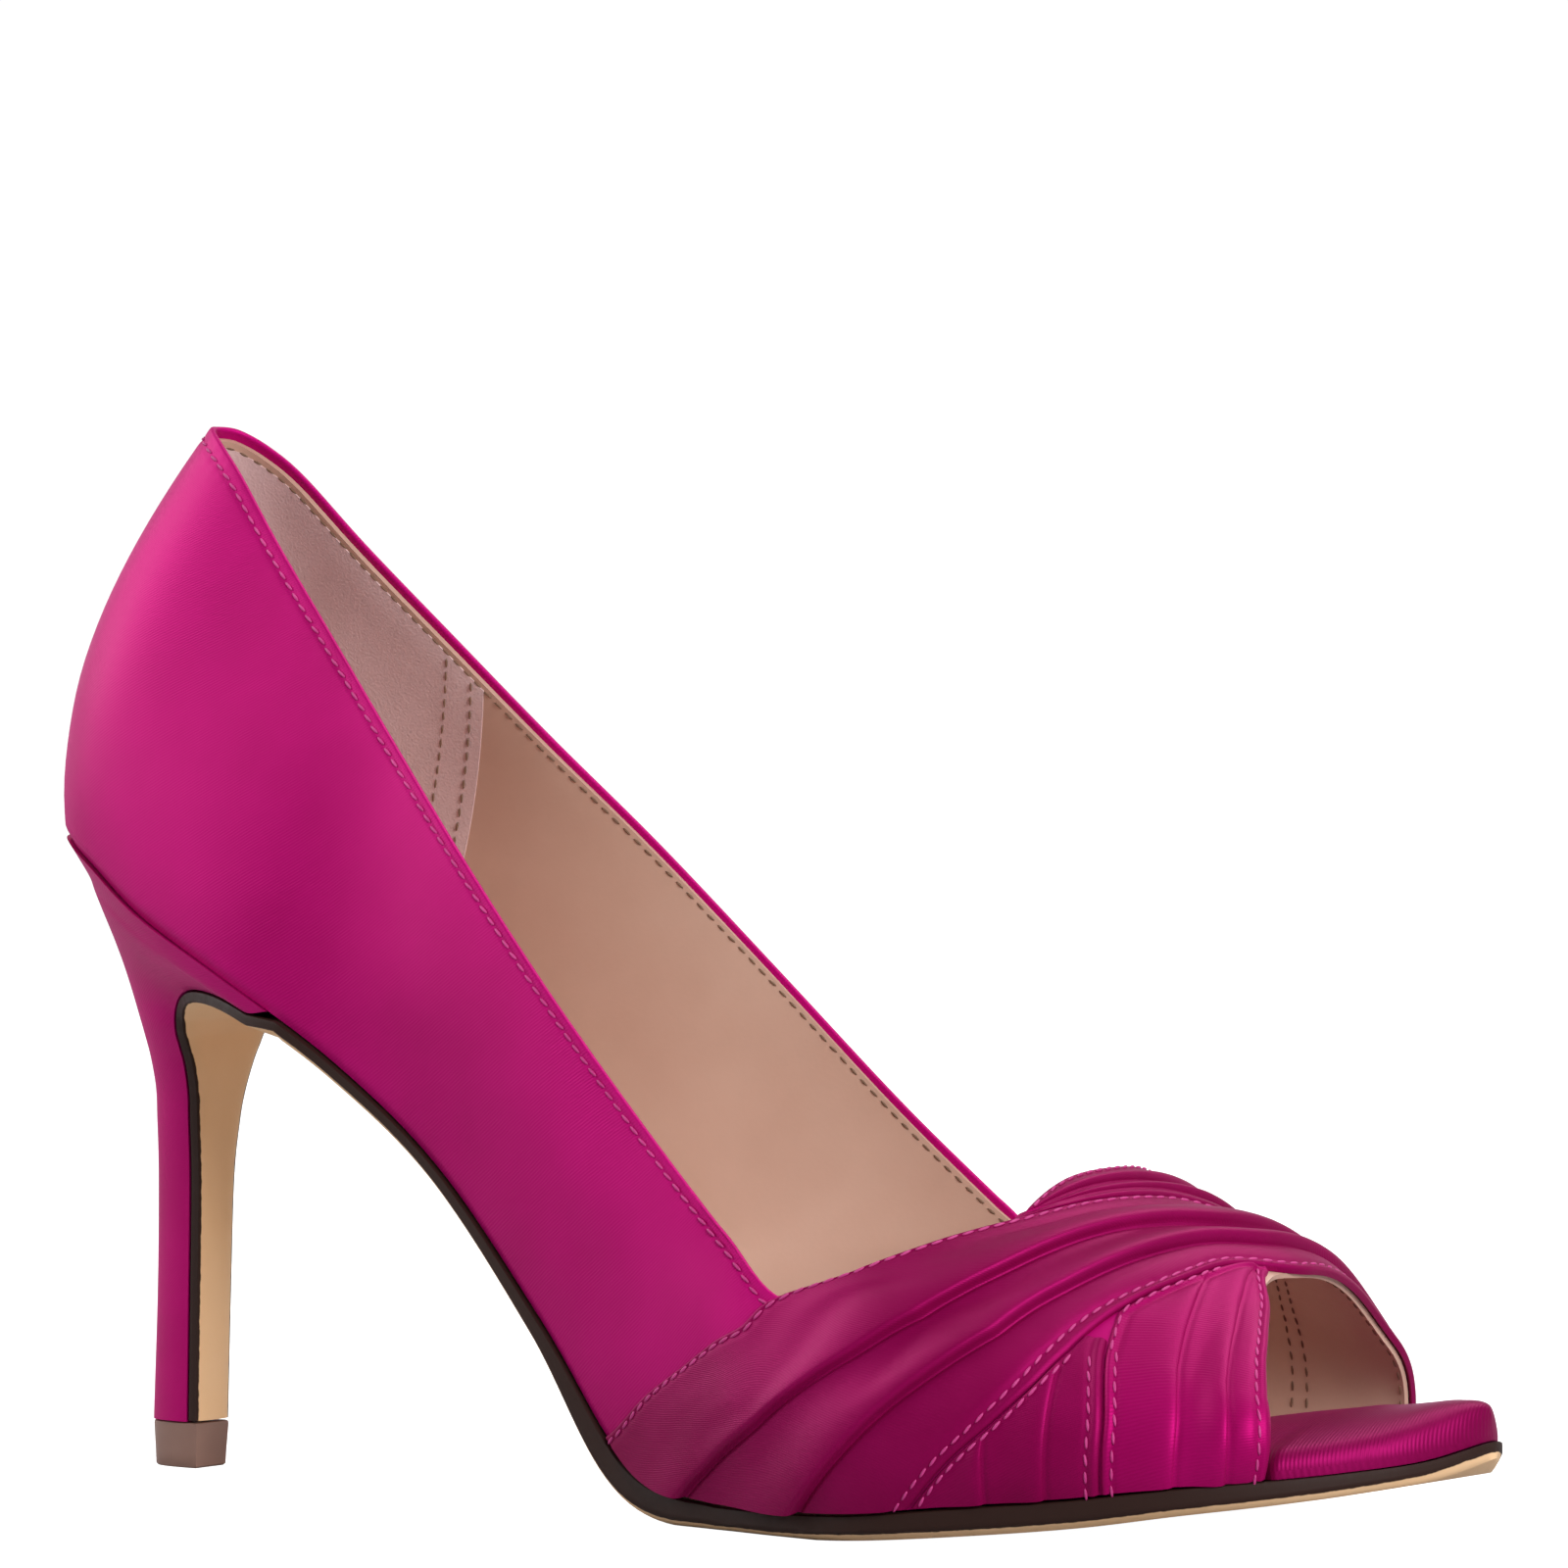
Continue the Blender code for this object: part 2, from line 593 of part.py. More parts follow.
def heel_ring(row):
    """One ring of the heel, a half ellipse behind a straight front."""
    front, front_height, wide, back, back_height = row

    def half(side, t):
        angle = round_back(t)
        x = blend(front, back, math.sin(angle)) * LENGTH
        y = side * wide * BALL_WIDTH * math.cos(angle)
        z = blend(front_height, back_height, math.sin(angle)) * HEEL_HEIGHT
        return np.array([x, y, z])

    return ring_of_sides(half)


def make_heel():
    """The satin covered heel, from its tip up to the seat."""
    rings = [heel_ring(row) for row in HEEL]
    rings.append(ring_of_sides(seat_point))
    for point in rings[0]:
        point[2] = HEEL_TIP_HEIGHT + CLEARANCE
    loft("heel", rings, "magenta_satin")


def make_heel_tip():
    """The top piece under the heel, flat underneath."""
    rings = []
    for height, taper in ((0.0, HEEL_TIP_TAPER), (HEEL_TIP_HEIGHT, 0.0)):
        length = TIP_FRONT - TIP_BACK - 2 * taper
        width = HEEL_TIP_WIDTH - 2 * taper

        def half(side, t):
            angle = round_back(t)
            x = HEEL_TIP_X + length * (0.5 - math.sin(angle))
            return np.array([x, side * width / 2 * math.cos(angle), height])

        rings.append(ring_of_sides(half))
    loft("heel_tip", rings, "heel_tip_rubber")


def make_outsole():
    """Leather sole: under the forefoot and shank, then a flap turned down the heel's front."""
    rings = []
    flat_rows = list(reversed(SHANK_ROWS[-2:] + tuple(front_rows()) + TOE_ROWS))
    rows = flat_rows + list(reversed(SHANK_ROWS[:-2])) + [FLAP_ROW]
    tops = []
    for t in rows:
        left = feather(t, -1, -SOLE_EDGE)
        right = feather(t, 1, -SOLE_EDGE)
        left[2] -= CLEARANCE
        right[2] -= CLEARANCE
        tops.append((left, right, spline(LAST_ROWS, t)[5] * SOLE_THICKNESS))
    for front, front_height, wide, _, _ in reversed(HEEL):
        point = np.array([front * LENGTH, 0.0, front_height * HEEL_HEIGHT])
        side = np.array([0.0, wide * BALL_WIDTH, 0.0])
        tops.append((point - side, point + side, FLAP_THICKNESS))
    for i, (left, right, thickness) in enumerate(tops):
        before = tops[max(i - 1, 0)]
        after = tops[min(i + 1, len(tops) - 1)]
        run = (after[0] + after[1] - before[0] - before[1]) / 2
        way = np.array([-run[2], 0.0, run[0]])
        way /= np.linalg.norm(way)
        if i < len(flat_rows):
            way = np.array([0.0, 0.0, -1.0])
        shift = way * CLEARANCE if i >= len(rows) else 0.0
        rings.append(outsole_ring(left + shift, right + shift, way, thickness))
    for point in rings[-1]:
        point[2] = HEEL_TIP_HEIGHT + CLEARANCE
    loft("outsole", rings, "sole_leather")


def insole_edge(t, side, foot):
    """The insole's edge: inside the upper's wall, and out to the feather line past its end."""
    hidden = WALL + CLEARANCE + INSOLE_SLACK
    past = spline(LAST_ROWS, t)[0] * LENGTH - foot
    clear = min(max((past - CLEARANCE) / INSOLE_SHOULDER, 0.0), 1.0)
    return feather(t, side, blend(hidden, 0.0, clear))


def insole_heights(t):
    """The insole's height across its width at a row: flat in the shoe, crowned in the open toe
    and rolled down at its front edge."""
    along = spline(LAST_ROWS, t)[0]
    crown = (along - SOCK_FRONT) / (RIM[0][1] - SOCK_FRONT)
    crown = min(max(crown, 0.0), 1.0) * TOE_CROWN
    to_front = (LAST[-1][0] - along) * LENGTH / TOE_ROLL
    rolled = math.sqrt(1.0 - (1.0 - min(max(to_front, 0.0), 1.0)) ** 2)
    height = blend(TOE_ROLL_EDGE, 1.0, rolled)
    return [(flat * INSOLE_THICKNESS + raised * crown) * height for _, flat, raised in INSOLE_SECTION]


def make_insole(name, rows, finish):
    """A part of the insole, with its top edges rounded over."""
    rings = []
    for t in rows:
        left = insole_edge(t, -1, rim_edge(0.0))
        right = insole_edge(t, 1, rim_edge(4.0))
        under = [blend(left, right, share) for share, _, _ in INSOLE_SECTION]
        top = [point + np.array([0.0, 0.0, height]) for point, height in zip(under, insole_heights(t))]
        rings.append(under + list(reversed(top)))
    loft(name, rings, finish)


def make_insoles():
    """The leather sock and, ahead of it, the insole's satin covered toe."""
    join = row_at(SOCK_FRONT)
    gap = row_at(SOCK_FRONT + CLEARANCE / LENGTH)
    back = list(SEAT_ROWS[1:] + SHANK_ROWS) + [t for t in front_rows() if t < join]
    make_insole("insole_sock", back + [join], "beige_leather")
    front = [gap] + [t for t in front_rows() if t > gap]
    for foot in (rim_edge(0.0), rim_edge(4.0)):
        front.append(row_at((foot + CLEARANCE) / LENGTH))
        front.append(row_at((foot + CLEARANCE + INSOLE_SHOULDER) / LENGTH))
    make_insole("insole_toe", sorted(front + list(TOE_ROWS)), "magenta_satin")


def clear_scene():
    """Remove what the scene holds."""
    for item in list(bpy.data.objects):
        bpy.data.objects.remove(item, do_unlink=True)


def main():
    clear_scene()
    parts = bpy.data.collections.new("peep_toe_pump")
    bpy.context.scene.collection.children.link(parts)
    make_upper()
    make_bands()
    make_outsole()
    make_heel()
    make_heel_tip()
    make_insoles()


main()
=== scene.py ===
# %% [markdown]
# # A satin peep toe pump
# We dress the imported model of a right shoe: a high heeled pump in magenta satin, with two pleated
# bands crossed over the toes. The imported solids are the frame. Each finished piece below either
# stands for one of them or lies on one, and everything is in metres with the heel tip's middle at
# the origin.

# %% Load the frame
import math

import bmesh
import bpy
import numpy as np
from mathutils import Matrix, Vector


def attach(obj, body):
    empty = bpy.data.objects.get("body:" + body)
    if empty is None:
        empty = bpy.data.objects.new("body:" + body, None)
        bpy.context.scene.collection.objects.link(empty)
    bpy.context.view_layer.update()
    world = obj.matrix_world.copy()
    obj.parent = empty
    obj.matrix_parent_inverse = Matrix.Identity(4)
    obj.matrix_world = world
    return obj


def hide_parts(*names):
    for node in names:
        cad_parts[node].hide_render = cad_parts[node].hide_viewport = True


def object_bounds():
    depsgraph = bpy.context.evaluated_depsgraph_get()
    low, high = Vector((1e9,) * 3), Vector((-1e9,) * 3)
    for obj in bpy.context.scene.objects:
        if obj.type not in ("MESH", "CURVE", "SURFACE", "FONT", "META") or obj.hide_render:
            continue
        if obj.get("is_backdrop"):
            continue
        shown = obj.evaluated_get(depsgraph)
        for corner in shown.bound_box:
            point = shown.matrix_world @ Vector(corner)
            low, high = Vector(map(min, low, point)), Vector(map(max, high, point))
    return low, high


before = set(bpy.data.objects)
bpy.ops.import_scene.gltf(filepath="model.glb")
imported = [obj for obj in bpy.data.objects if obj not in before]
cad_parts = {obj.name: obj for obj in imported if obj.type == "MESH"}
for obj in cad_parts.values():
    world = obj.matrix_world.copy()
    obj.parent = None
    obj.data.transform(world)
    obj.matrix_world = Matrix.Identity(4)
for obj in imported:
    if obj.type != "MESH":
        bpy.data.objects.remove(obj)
cad_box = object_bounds()
print("solids:", ", ".join(sorted(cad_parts)))

# %% [markdown]
# ## The last, written as tables
# A real pump is pulled over a last, a wooden or plastic foot. Its shape is a pair of tables here,
# the same as in the part's source: one row for each station from the seat to the toe. A smooth
# curve through the rows gives the feather line, where the upper meets the sole, and a second table
# gives the side walls and the ridge. Everything that lies on the foot asks these functions for
# its place, so bands, linings and stitches always fit each other.

# %% Sizes of the shoe, in millimetres
MM = 0.001
LENGTH = 222.0
BALL_WIDTH = 75.0
HEEL_HEIGHT = 88.0
BACK_HEIGHT = 56.0
VAMP_HEIGHT = 49.0
TOE_SPRING = 10.6
CLEARANCE = 0.3
SOLE_THICKNESS = 3.3
SOLE_GRIND = 0.2
SOLE_EDGE = 0.6
SOLE_BEVEL = 1.1
FLAP_THICKNESS = 1.9
INSOLE_THICKNESS = 2.8
TOE_CROWN = 2.6
TOE_ROLL = 7.0
HEEL_TIP_HEIGHT = 6.3
TIP_SETBACK = 0.5
HEEL_TIP_WIDTH = 7.4
SHOULDER_FULLNESS = 0.38

LAST = np.array((
    # along, lateral, medial, pitch, spring, sole
    (0.000, 0.000, 0.000, 1.000, 0.00, 0.70),
    (0.009, 0.124, 0.124, 0.996, 0.00, 0.70),
    (0.029, 0.203, 0.203, 0.983, 0.00, 0.70),
    (0.059, 0.259, 0.259, 0.947, 0.00, 0.70),
    (0.108, 0.305, 0.305, 0.868, 0.00, 0.70),
    (0.180, 0.333, 0.327, 0.772, 0.00, 0.70),
    (0.260, 0.320, 0.300, 0.645, 0.00, 0.70),
    (0.340, 0.333, 0.267, 0.488, 0.00, 0.70),
    (0.425, 0.373, 0.253, 0.258, 0.00, 0.85),
    (0.497, 0.409, 0.282, 0.042, 0.00, 1.25),
    (0.570, 0.457, 0.353, 0.000, 0.00, 1.00),
    (0.617, 0.491, 0.413, 0.000, 0.00, 1.00),
    (0.675, 0.516, 0.473, 0.000, 0.05, 1.00),
    (0.743, 0.493, 0.490, 0.000, 0.20, 1.10),
    (0.810, 0.452, 0.472, 0.000, 0.35, 1.10),
    (0.865, 0.402, 0.434, 0.000, 0.51, 1.05),
    (0.910, 0.330, 0.362, 0.000, 0.61, 0.95),
    (0.946, 0.240, 0.250, 0.000, 0.70, 0.85),
    (0.976, 0.132, 0.115, 0.000, 0.81, 0.75),
    (0.995, -0.003, 0.003, 0.000, 1.00, 0.65),
))
SIDE = np.array((
    # along, lateral, medial, rise, shoulder, low belly, high belly, ridge across, ridge
    (0.092, 0.000, 0.000, 1.000, 0.00, 0.130, 0.107, 0.00, 1.60),
    (0.099, 0.043, 0.043, 0.998, 0.00, 0.127, 0.104, 0.00, 1.60),
    (0.115, 0.075, 0.075, 0.975, 0.00, 0.115, 0.093, 0.00, 1.60),
    (0.136, 0.100, 0.100, 0.955, 0.00, 0.100, 0.080, 0.00, 1.60),
    (0.174, 0.138, 0.138, 0.905, 0.00, 0.080, 0.064, 0.00, 1.60),
    (0.227, 0.190, 0.190, 0.830, 0.00, 0.062, 0.050, 0.00, 1.60),
    (0.286, 0.250, 0.250, 0.777, 0.00, 0.050, 0.042, 0.00, 1.60),
    (0.353, 0.320, 0.320, 0.745, 0.00, 0.042, 0.036, 0.00, 1.60),
    (0.430, 0.378, 0.378, 0.780, 0.00, 0.034, 0.034, 0.00, 1.55),
    (0.509, 0.422, 0.418, 0.800, 0.00, 0.034, 0.038, 0.00, 1.42),
    (0.572, 0.460, 0.450, 0.640, 0.00, 0.040, 0.042, 0.00, 1.27),
    (0.617, 0.480, 0.466, 0.490, 0.00, 0.044, 0.046, 0.01, 1.14),
    (0.675, 0.473, 0.450, 0.000, 0.53, 0.052, 0.058, 0.02, 1.00),
    (0.743, 0.440, 0.447, 0.000, 0.44, 0.056, 0.060, 0.03, 0.807),
    (0.810, 0.390, 0.420, 0.000, 0.36, 0.050, 0.056, 0.05, 0.648),
    (0.865, 0.333, 0.375, 0.000, 0.28, 0.042, 0.050, 0.06, 0.503),
    (0.910, 0.261, 0.300, 0.000, 0.20, 0.034, 0.042, 0.06, 0.362),
))
CORNER_ROW = 11
HEEL = np.array((
    # front along, front height, wide, back along, back height
    (0.0800, 0.075, 0.050, 0.0440, 0.075),
    (0.0820, 0.284, 0.052, 0.0475, 0.284),
    (0.0838, 0.455, 0.055, 0.0485, 0.455),
    (0.0856, 0.545, 0.066, 0.0484, 0.547),
    (0.0874, 0.591, 0.075, 0.0482, 0.597),
    (0.0892, 0.636, 0.093, 0.0459, 0.645),
    (0.0901, 0.665, 0.111, 0.0432, 0.682),
    (0.0914, 0.693, 0.129, 0.0405, 0.716),
    (0.0968, 0.725, 0.149, 0.0360, 0.757),
    (0.1104, 0.750, 0.184, 0.0315, 0.801),
    (0.1306, 0.760, 0.227, 0.0261, 0.847),
    (0.1554, 0.757, 0.271, 0.0198, 0.892),
    (0.1779, 0.746, 0.304, 0.0135, 0.932),
    (0.1959, 0.731, 0.322, 0.0068, 0.969),
))
OUTER_BAND = np.array((
    # turn, rear edge, first valley, second valley, front edge
    (0.00, 0.478, 0.545, 0.638, 0.712),
    (0.25, 0.512, 0.593, 0.669, 0.737),
    (0.50, 0.560, 0.631, 0.698, 0.763),
    (0.75, 0.596, 0.676, 0.728, 0.783),
    (1.00, 0.619, 0.711, 0.757, 0.798),
    (1.10, 0.663, 0.728, 0.769, 0.806),
    (1.25, 0.700, 0.750, 0.787, 0.818),
    (1.50, 0.738, 0.776, 0.808, 0.836),
    (1.75, 0.758, 0.797, 0.823, 0.853),
    (2.00, 0.772, 0.815, 0.839, 0.864),
    (2.25, 0.787, 0.823, 0.845, 0.866),
    (2.50, 0.800, 0.829, 0.849, 0.866),
    (3.00, 0.811, 0.829, 0.847, 0.862),
    (3.50, 0.804, 0.822, 0.841, 0.856),
    (4.00, 0.800, 0.819, 0.838, 0.854),
))
UNDER_BAND = np.array((
    # turn, rear edge, front edge
    (0.00, 0.477, 0.703),
    (0.50, 0.565, 0.759),
    (1.00, 0.619, 0.804),
    (1.25, 0.676, 0.826),
    (1.50, 0.712, 0.840),
    (1.75, 0.731, 0.845),
    (2.00, 0.736, 0.850),
    (2.25, 0.734, 0.850),
    (2.60, 0.735, 0.850),
))
RIM = np.array((
    # turn, rim, panel rear edge
    (0.00, 0.909, 0.827),
    (0.50, 0.906, 0.826),
    (1.00, 0.901, 0.818),
    (1.25, 0.893, 0.814),
    (1.50, 0.879, 0.810),
    (1.70, 0.866, 0.806),
    (1.85, 0.861, 0.804),
    (2.00, 0.864, 0.804),
    (2.50, 0.866, 0.804),
    (3.00, 0.862, 0.804),
    (3.50, 0.856, 0.804),
    (4.00, 0.854, 0.804),
))
FEATHER_AT_BALL = SOLE_THICKNESS - SOLE_GRIND + CLEARANCE
TIP_FRONT = HEEL[0, 0] * LENGTH + CLEARANCE + FLAP_THICKNESS - TIP_SETBACK
TIP_BACK = HEEL[0, 3] * LENGTH
HEEL_TIP_X = (TIP_FRONT + TIP_BACK) / 2
print(f"a last {LENGTH:.0f} mm long in {len(LAST)} rows, heel seat {HEEL_HEIGHT:.0f} mm up")


# %% Curves through the tables
def round_end(rows, row):
    """The row past a round end: the outline goes on along its other side."""
    other = rows[row].copy()
    other[1], other[2] = -rows[row][2], -rows[row][1]
    return other


def curve_through(points, t, before=None, after=None):
    """Catmull-Rom curve through rows of points at row numbers t. Its ends run straight on unless
    the rows before and after them are given."""
    t = np.asarray(t, float)
    i = np.clip(np.floor(t).astype(int), 0, len(points) - 2)
    f = np.reshape(t - i, t.shape + (1,) * (points.ndim - 1))
    before = 2 * points[0] - points[1] if before is None else before
    after = 2 * points[-1] - points[-2] if after is None else after
    longer = np.concatenate([[before], points, [after]])
    p0, p1, p2, p3 = (longer[i + k] for k in range(4))
    return 0.5 * (2 * p1 + (p2 - p0) * f + (2 * p0 - 5 * p1 + 4 * p2 - p3) * f**2
                  + (3 * p1 - p0 - 3 * p2 + p3) * f**3)


def spline(rows, t):
    """The curve through one of the last's tables, which goes on round both ends of the shoe."""
    return curve_through(rows, t, round_end(rows, 1), round_end(rows, len(rows) - 2))


def smooth_rows(table, x, column):
    """A table's column at x, in millimetres along the last, on a curve that never overshoots."""
    xs, ys = table[:, 0], table[:, column]
    h, d = np.diff(xs), np.diff(ys) / np.diff(xs)
    slope = np.concatenate([[d[0]], np.zeros(len(d) - 1), [d[-1]]])
    same = d[:-1] * d[1:] > 0
    w1, w2 = 2 * h[1:] + h[:-1], h[1:] + 2 * h[:-1]
    a, b = np.where(same, d[:-1], 1), np.where(same, d[1:], 1)
    slope[1:-1] = np.where(same, (w1 + w2) / (w1 / a + w2 / b), 0)
    x = np.clip(np.asarray(x, float), xs[0], xs[-1])
    i = np.clip(np.searchsorted(xs, x, side="right") - 1, 0, len(xs) - 2)
    f = (x - xs[i]) / h[i]
    value = ((2 * f**3 - 3 * f**2 + 1) * ys[i] + (f**3 - 2 * f**2 + f) * h[i] * slope[i]
             + (3 * f**2 - 2 * f**3) * ys[i + 1] + (f**3 - f**2) * h[i] * slope[i + 1])
    return value * LENGTH


ROW_STEP = 0.02
SIDE_END = 16.1
FINE_ROWS = np.linspace(0.0, len(LAST) - 1.0, 3801)
FINE_ALONG = spline(LAST, FINE_ROWS)[:, 0] * LENGTH


def row_at(along):
    """The row number where the feather line has come this many millimetres."""
    return np.interp(along, FINE_ALONG, FINE_ROWS)


def feather(t, side, inset=0.0):
    """Points on the feather line. Side is -1 lateral and 1 medial, inset moves them inwards."""
    t, side = np.broadcast_arrays(np.asarray(t, float), side)
    here = spline(LAST, t)
    gone = (spline(LAST, np.minimum(t + ROW_STEP, len(LAST) - 1.0))
            - spline(LAST, np.maximum(t - ROW_STEP, 0.0)))
    run = gone[..., 0] * LENGTH
    spread = np.where(side < 0, gone[..., 1], gone[..., 2]) * BALL_WIDTH
    size = np.hypot(run, spread)
    width = np.where(side < 0, here[..., 1], here[..., 2]) * BALL_WIDTH
    moved = inset * spread / size
    y = side * (width - inset * run / size)
    pitch = here[..., 3] + gone[..., 3] / run * moved
    lift = pitch * (HEEL_HEIGHT - FEATHER_AT_BALL) + np.maximum(here[..., 4], 0) * TOE_SPRING
    return np.stack([here[..., 0] * LENGTH + moved, y, FEATHER_AT_BALL + np.maximum(lift, 0)], -1)


def bezier(p0, p1, p2, p3, s):
    r = 1 - s
    return r**3 * p0 + 3 * r * r * s * p1 + 3 * r * s * s * p2 + s**3 * p3


def unit(v):
    return v / np.maximum(np.linalg.norm(v, axis=-1, keepdims=True), 1e-9)


def last_point(t, turn):
    """Points on the foot. Turn goes round it: 0 lateral feather line, 1 topline or shoulder, 2 the
    ridge, 3 medial topline or shoulder, 4 medial feather line."""
    t, turn = np.broadcast_arrays(np.asarray(t, float), np.asarray(turn, float))
    side = np.where(turn <= 2, -1.0, 1.0)
    up = np.where(turn <= 2, turn, 4 - turn)[..., None]
    here = spline(SIDE, t)
    low = feather(t, side)
    rise = here[..., 3] * BACK_HEIGHT + here[..., 4] * VAMP_HEIGHT
    across = np.where(side < 0, here[..., 1], here[..., 2]) * BALL_WIDTH
    high = np.stack([here[..., 0] * LENGTH, side * across, low[..., 2] + rise], -1)
    out = feather(t, side, -1.0) - low
    out[..., 2] = 0
    out = unit(out) * BALL_WIDTH
    third = (high - low) / 3
    near_high = high - third + out * here[..., 6:7]
    wall = bezier(low, low + third + out * here[..., 5:6], near_high, high, np.minimum(up, 1))
    ridge = np.stack([high[..., 0], here[..., 7] * BALL_WIDTH,
                      low[..., 2] + here[..., 8] * VAMP_HEIGHT], -1)
    reach = np.linalg.norm(ridge - high, axis=-1, keepdims=True) * SHOULDER_FULLNESS
    level = np.zeros_like(high)
    level[..., 1] = side
    over = bezier(high, high + unit(high - near_high) * reach, ridge + level * reach, ridge,
                  np.maximum(up - 1, 0))
    return np.where(up <= 1, wall, over)


def last_normal(t, turn):
    """The directions out of the foot."""
    t, turn = np.broadcast_arrays(np.asarray(t, float), np.asarray(turn, float))
    ahead = (last_point(np.minimum(t + ROW_STEP, SIDE_END), turn)
             - last_point(np.maximum(t - ROW_STEP, 0), turn))
    across = (last_point(t, np.minimum(turn + ROW_STEP, 4))
              - last_point(t, np.maximum(turn - ROW_STEP, 0)))
    way = unit(np.cross(across, ahead))
    here = last_point(t, turn)
    ridge = last_point(t, np.full(t.shape, 2.0))
    heart = np.stack([ridge[..., 0], 0 * t, feather(t, 1.0)[..., 2]], -1)
    return way * np.where(np.sum(way * (here - heart), -1, keepdims=True) >= 0, 1, -1)


def off_last(t, turn, height):
    """Points a height above the foot at row numbers and turns."""
    return last_point(t, turn) + last_normal(t, turn) * np.asarray(height, float)[..., None]


def on_last(turn, along, height):
    """The same at distances along the last."""
    return off_last(row_at(along), turn, height)


def turn_at(up, medial):
    """The turn at a share of the side wall's height, on the outer or the inner side."""
    return 4 - up if medial else up


def swell(x, low, high):
    """0 below low, 1 above high, and a smooth step between."""
    s = np.clip((np.asarray(x, float) - low) / (high - low), 0, 1)
    return s * s * (3 - 2 * s)


print("the ridge over the ball is", round(float(last_point(11.0, 2.0)[2]), 1), "mm up")


# %% [markdown]
# ## Camera, floor and light
# The camera stands where the photograph's stood: low, a third of the way round from the outer
# side, with a long lens. A white floor and three big soft lamps are how such shoes are
# photographed. A satin needs a broad lamp, because its gloss is a blurred picture of the lamps.

# %% Camera
AZIMUTH, ELEVATION = math.radians(33.5), math.radians(1.0)
DISTANCE, PIXELS_PER_MM = 1199.0, 7.70
AIM = (112 - HEEL_TIP_X, 0, 97)
SENSOR_WIDTH, FRAME_PIXELS = 36, 1600
SHIFT_PIXELS = (14, -12)


def new_object(name, data):
    """An object that is in the scene."""
    made = bpy.data.objects.new(name, data)
    bpy.context.scene.collection.objects.link(made)
    return made


def direction(azimuth, elevation):
    """A unit vector out from the shoe, turned round it and raised, both in radians."""
    flat = math.cos(elevation)
    return Vector((math.sin(azimuth) * flat, -math.cos(azimuth) * flat, math.sin(elevation)))


away = direction(AZIMUTH, ELEVATION)
level = Vector((math.cos(AZIMUTH), math.sin(AZIMUTH), 0))
turned = Matrix((level, away.cross(level), away)).transposed().to_4x4()
turned.translation = Vector(AIM) * MM + away * DISTANCE * MM
camera = new_object("camera", bpy.data.cameras.new("camera"))
camera.matrix_world = turned
camera.data.sensor_width = SENSOR_WIDTH
camera.data.lens = SENSOR_WIDTH * PIXELS_PER_MM * DISTANCE / FRAME_PIXELS
camera.data.shift_x, camera.data.shift_y = (shift / FRAME_PIXELS for shift in SHIFT_PIXELS)
bpy.context.scene.camera = camera
print(f"lens {camera.data.lens:.0f} mm, {DISTANCE:.0f} mm away")


# %% Helpers for node trees
def add(tree, kind, links=(), **settings):
    """A node with its settings, and its inputs linked from sockets or set to values."""
    node = tree.nodes.new(kind)
    for key, value in settings.items():
        setattr(node, key, value)
    for key, source in links:
        if isinstance(source, bpy.types.NodeSocket):
            tree.links.new(source, node.inputs[key])
        else:
            node.inputs[key].default_value = source
    return node


def maths(tree, operation, a, b=0.0, c=0.0):
    return add(tree, "ShaderNodeMath", ((0, a), (1, b), (2, c)), operation=operation).outputs[0]


def map_range(tree, value, low, high, to_low=0.0, to_high=1.0, step="LINEAR"):
    """A value between low and high turned into one between two other numbers."""
    links = enumerate((value, low, high, to_low, to_high))
    return add(tree, "ShaderNodeMapRange", links, interpolation_type=step).outputs[0]


def noise(tree, place_of, scale, detail=2.0):
    """Soft noise around 0.5, its scale in lumps per metre."""
    links = (("Vector", place_of), ("Scale", scale), ("Detail", detail))
    return add(tree, "ShaderNodeTexNoise", links).outputs[0]


def mix_colours(tree, factor, a, b):
    a, b = (c if isinstance(c, bpy.types.NodeSocket) else (*c, 1) for c in (a, b))
    mix = add(tree, "ShaderNodeMix", (("Factor", factor), (6, a), (7, b)), data_type="RGBA")
    return mix.outputs[2]


def new_finish(name, values):
    """A material with its node tree and its shader, whose inputs are set to values."""
    finish = bpy.data.materials.new(name)
    finish.use_nodes = True
    shader = finish.node_tree.nodes["Principled BSDF"]
    for label, value in values.items():
        shader.inputs[label].default_value = value
    return finish, finish.node_tree, shader


# %% Floor, world and lamps
FRONT_GLOW, BACK_GLOW, SKY_GLOW = 0.18, 1.03, 0.36
FLOOR_GREY, FLOOR_REACH = 0.45, 6
SHOE_MIDDLE = Vector((0.09, 0, 0.06))


def white_floor():
    """A grey floor that the camera alone sees lit up to plain white."""
    finish, tree, shader = new_finish("white_floor", {
        "Base Color": (FLOOR_GREY, FLOOR_GREY, FLOOR_GREY, 1), "Roughness": 0.8,
        "Specular IOR Level": 0.0, "Emission Color": (1, 1, 1, 1)})
    seen = add(tree, "ShaderNodeLightPath").outputs["Is Camera Ray"]
    tree.links.new(seen, shader.inputs["Emission Strength"])
    mesh = bpy.data.meshes.new("floor")
    low, high = -FLOOR_REACH, FLOOR_REACH
    corners = [(low, low, 0), (high, low, 0), (high, high, 0), (low, high, 0)]
    mesh.from_pydata(corners, [], [(0, 1, 2, 3)])
    mesh.materials.append(finish)
    return new_object("floor", mesh)


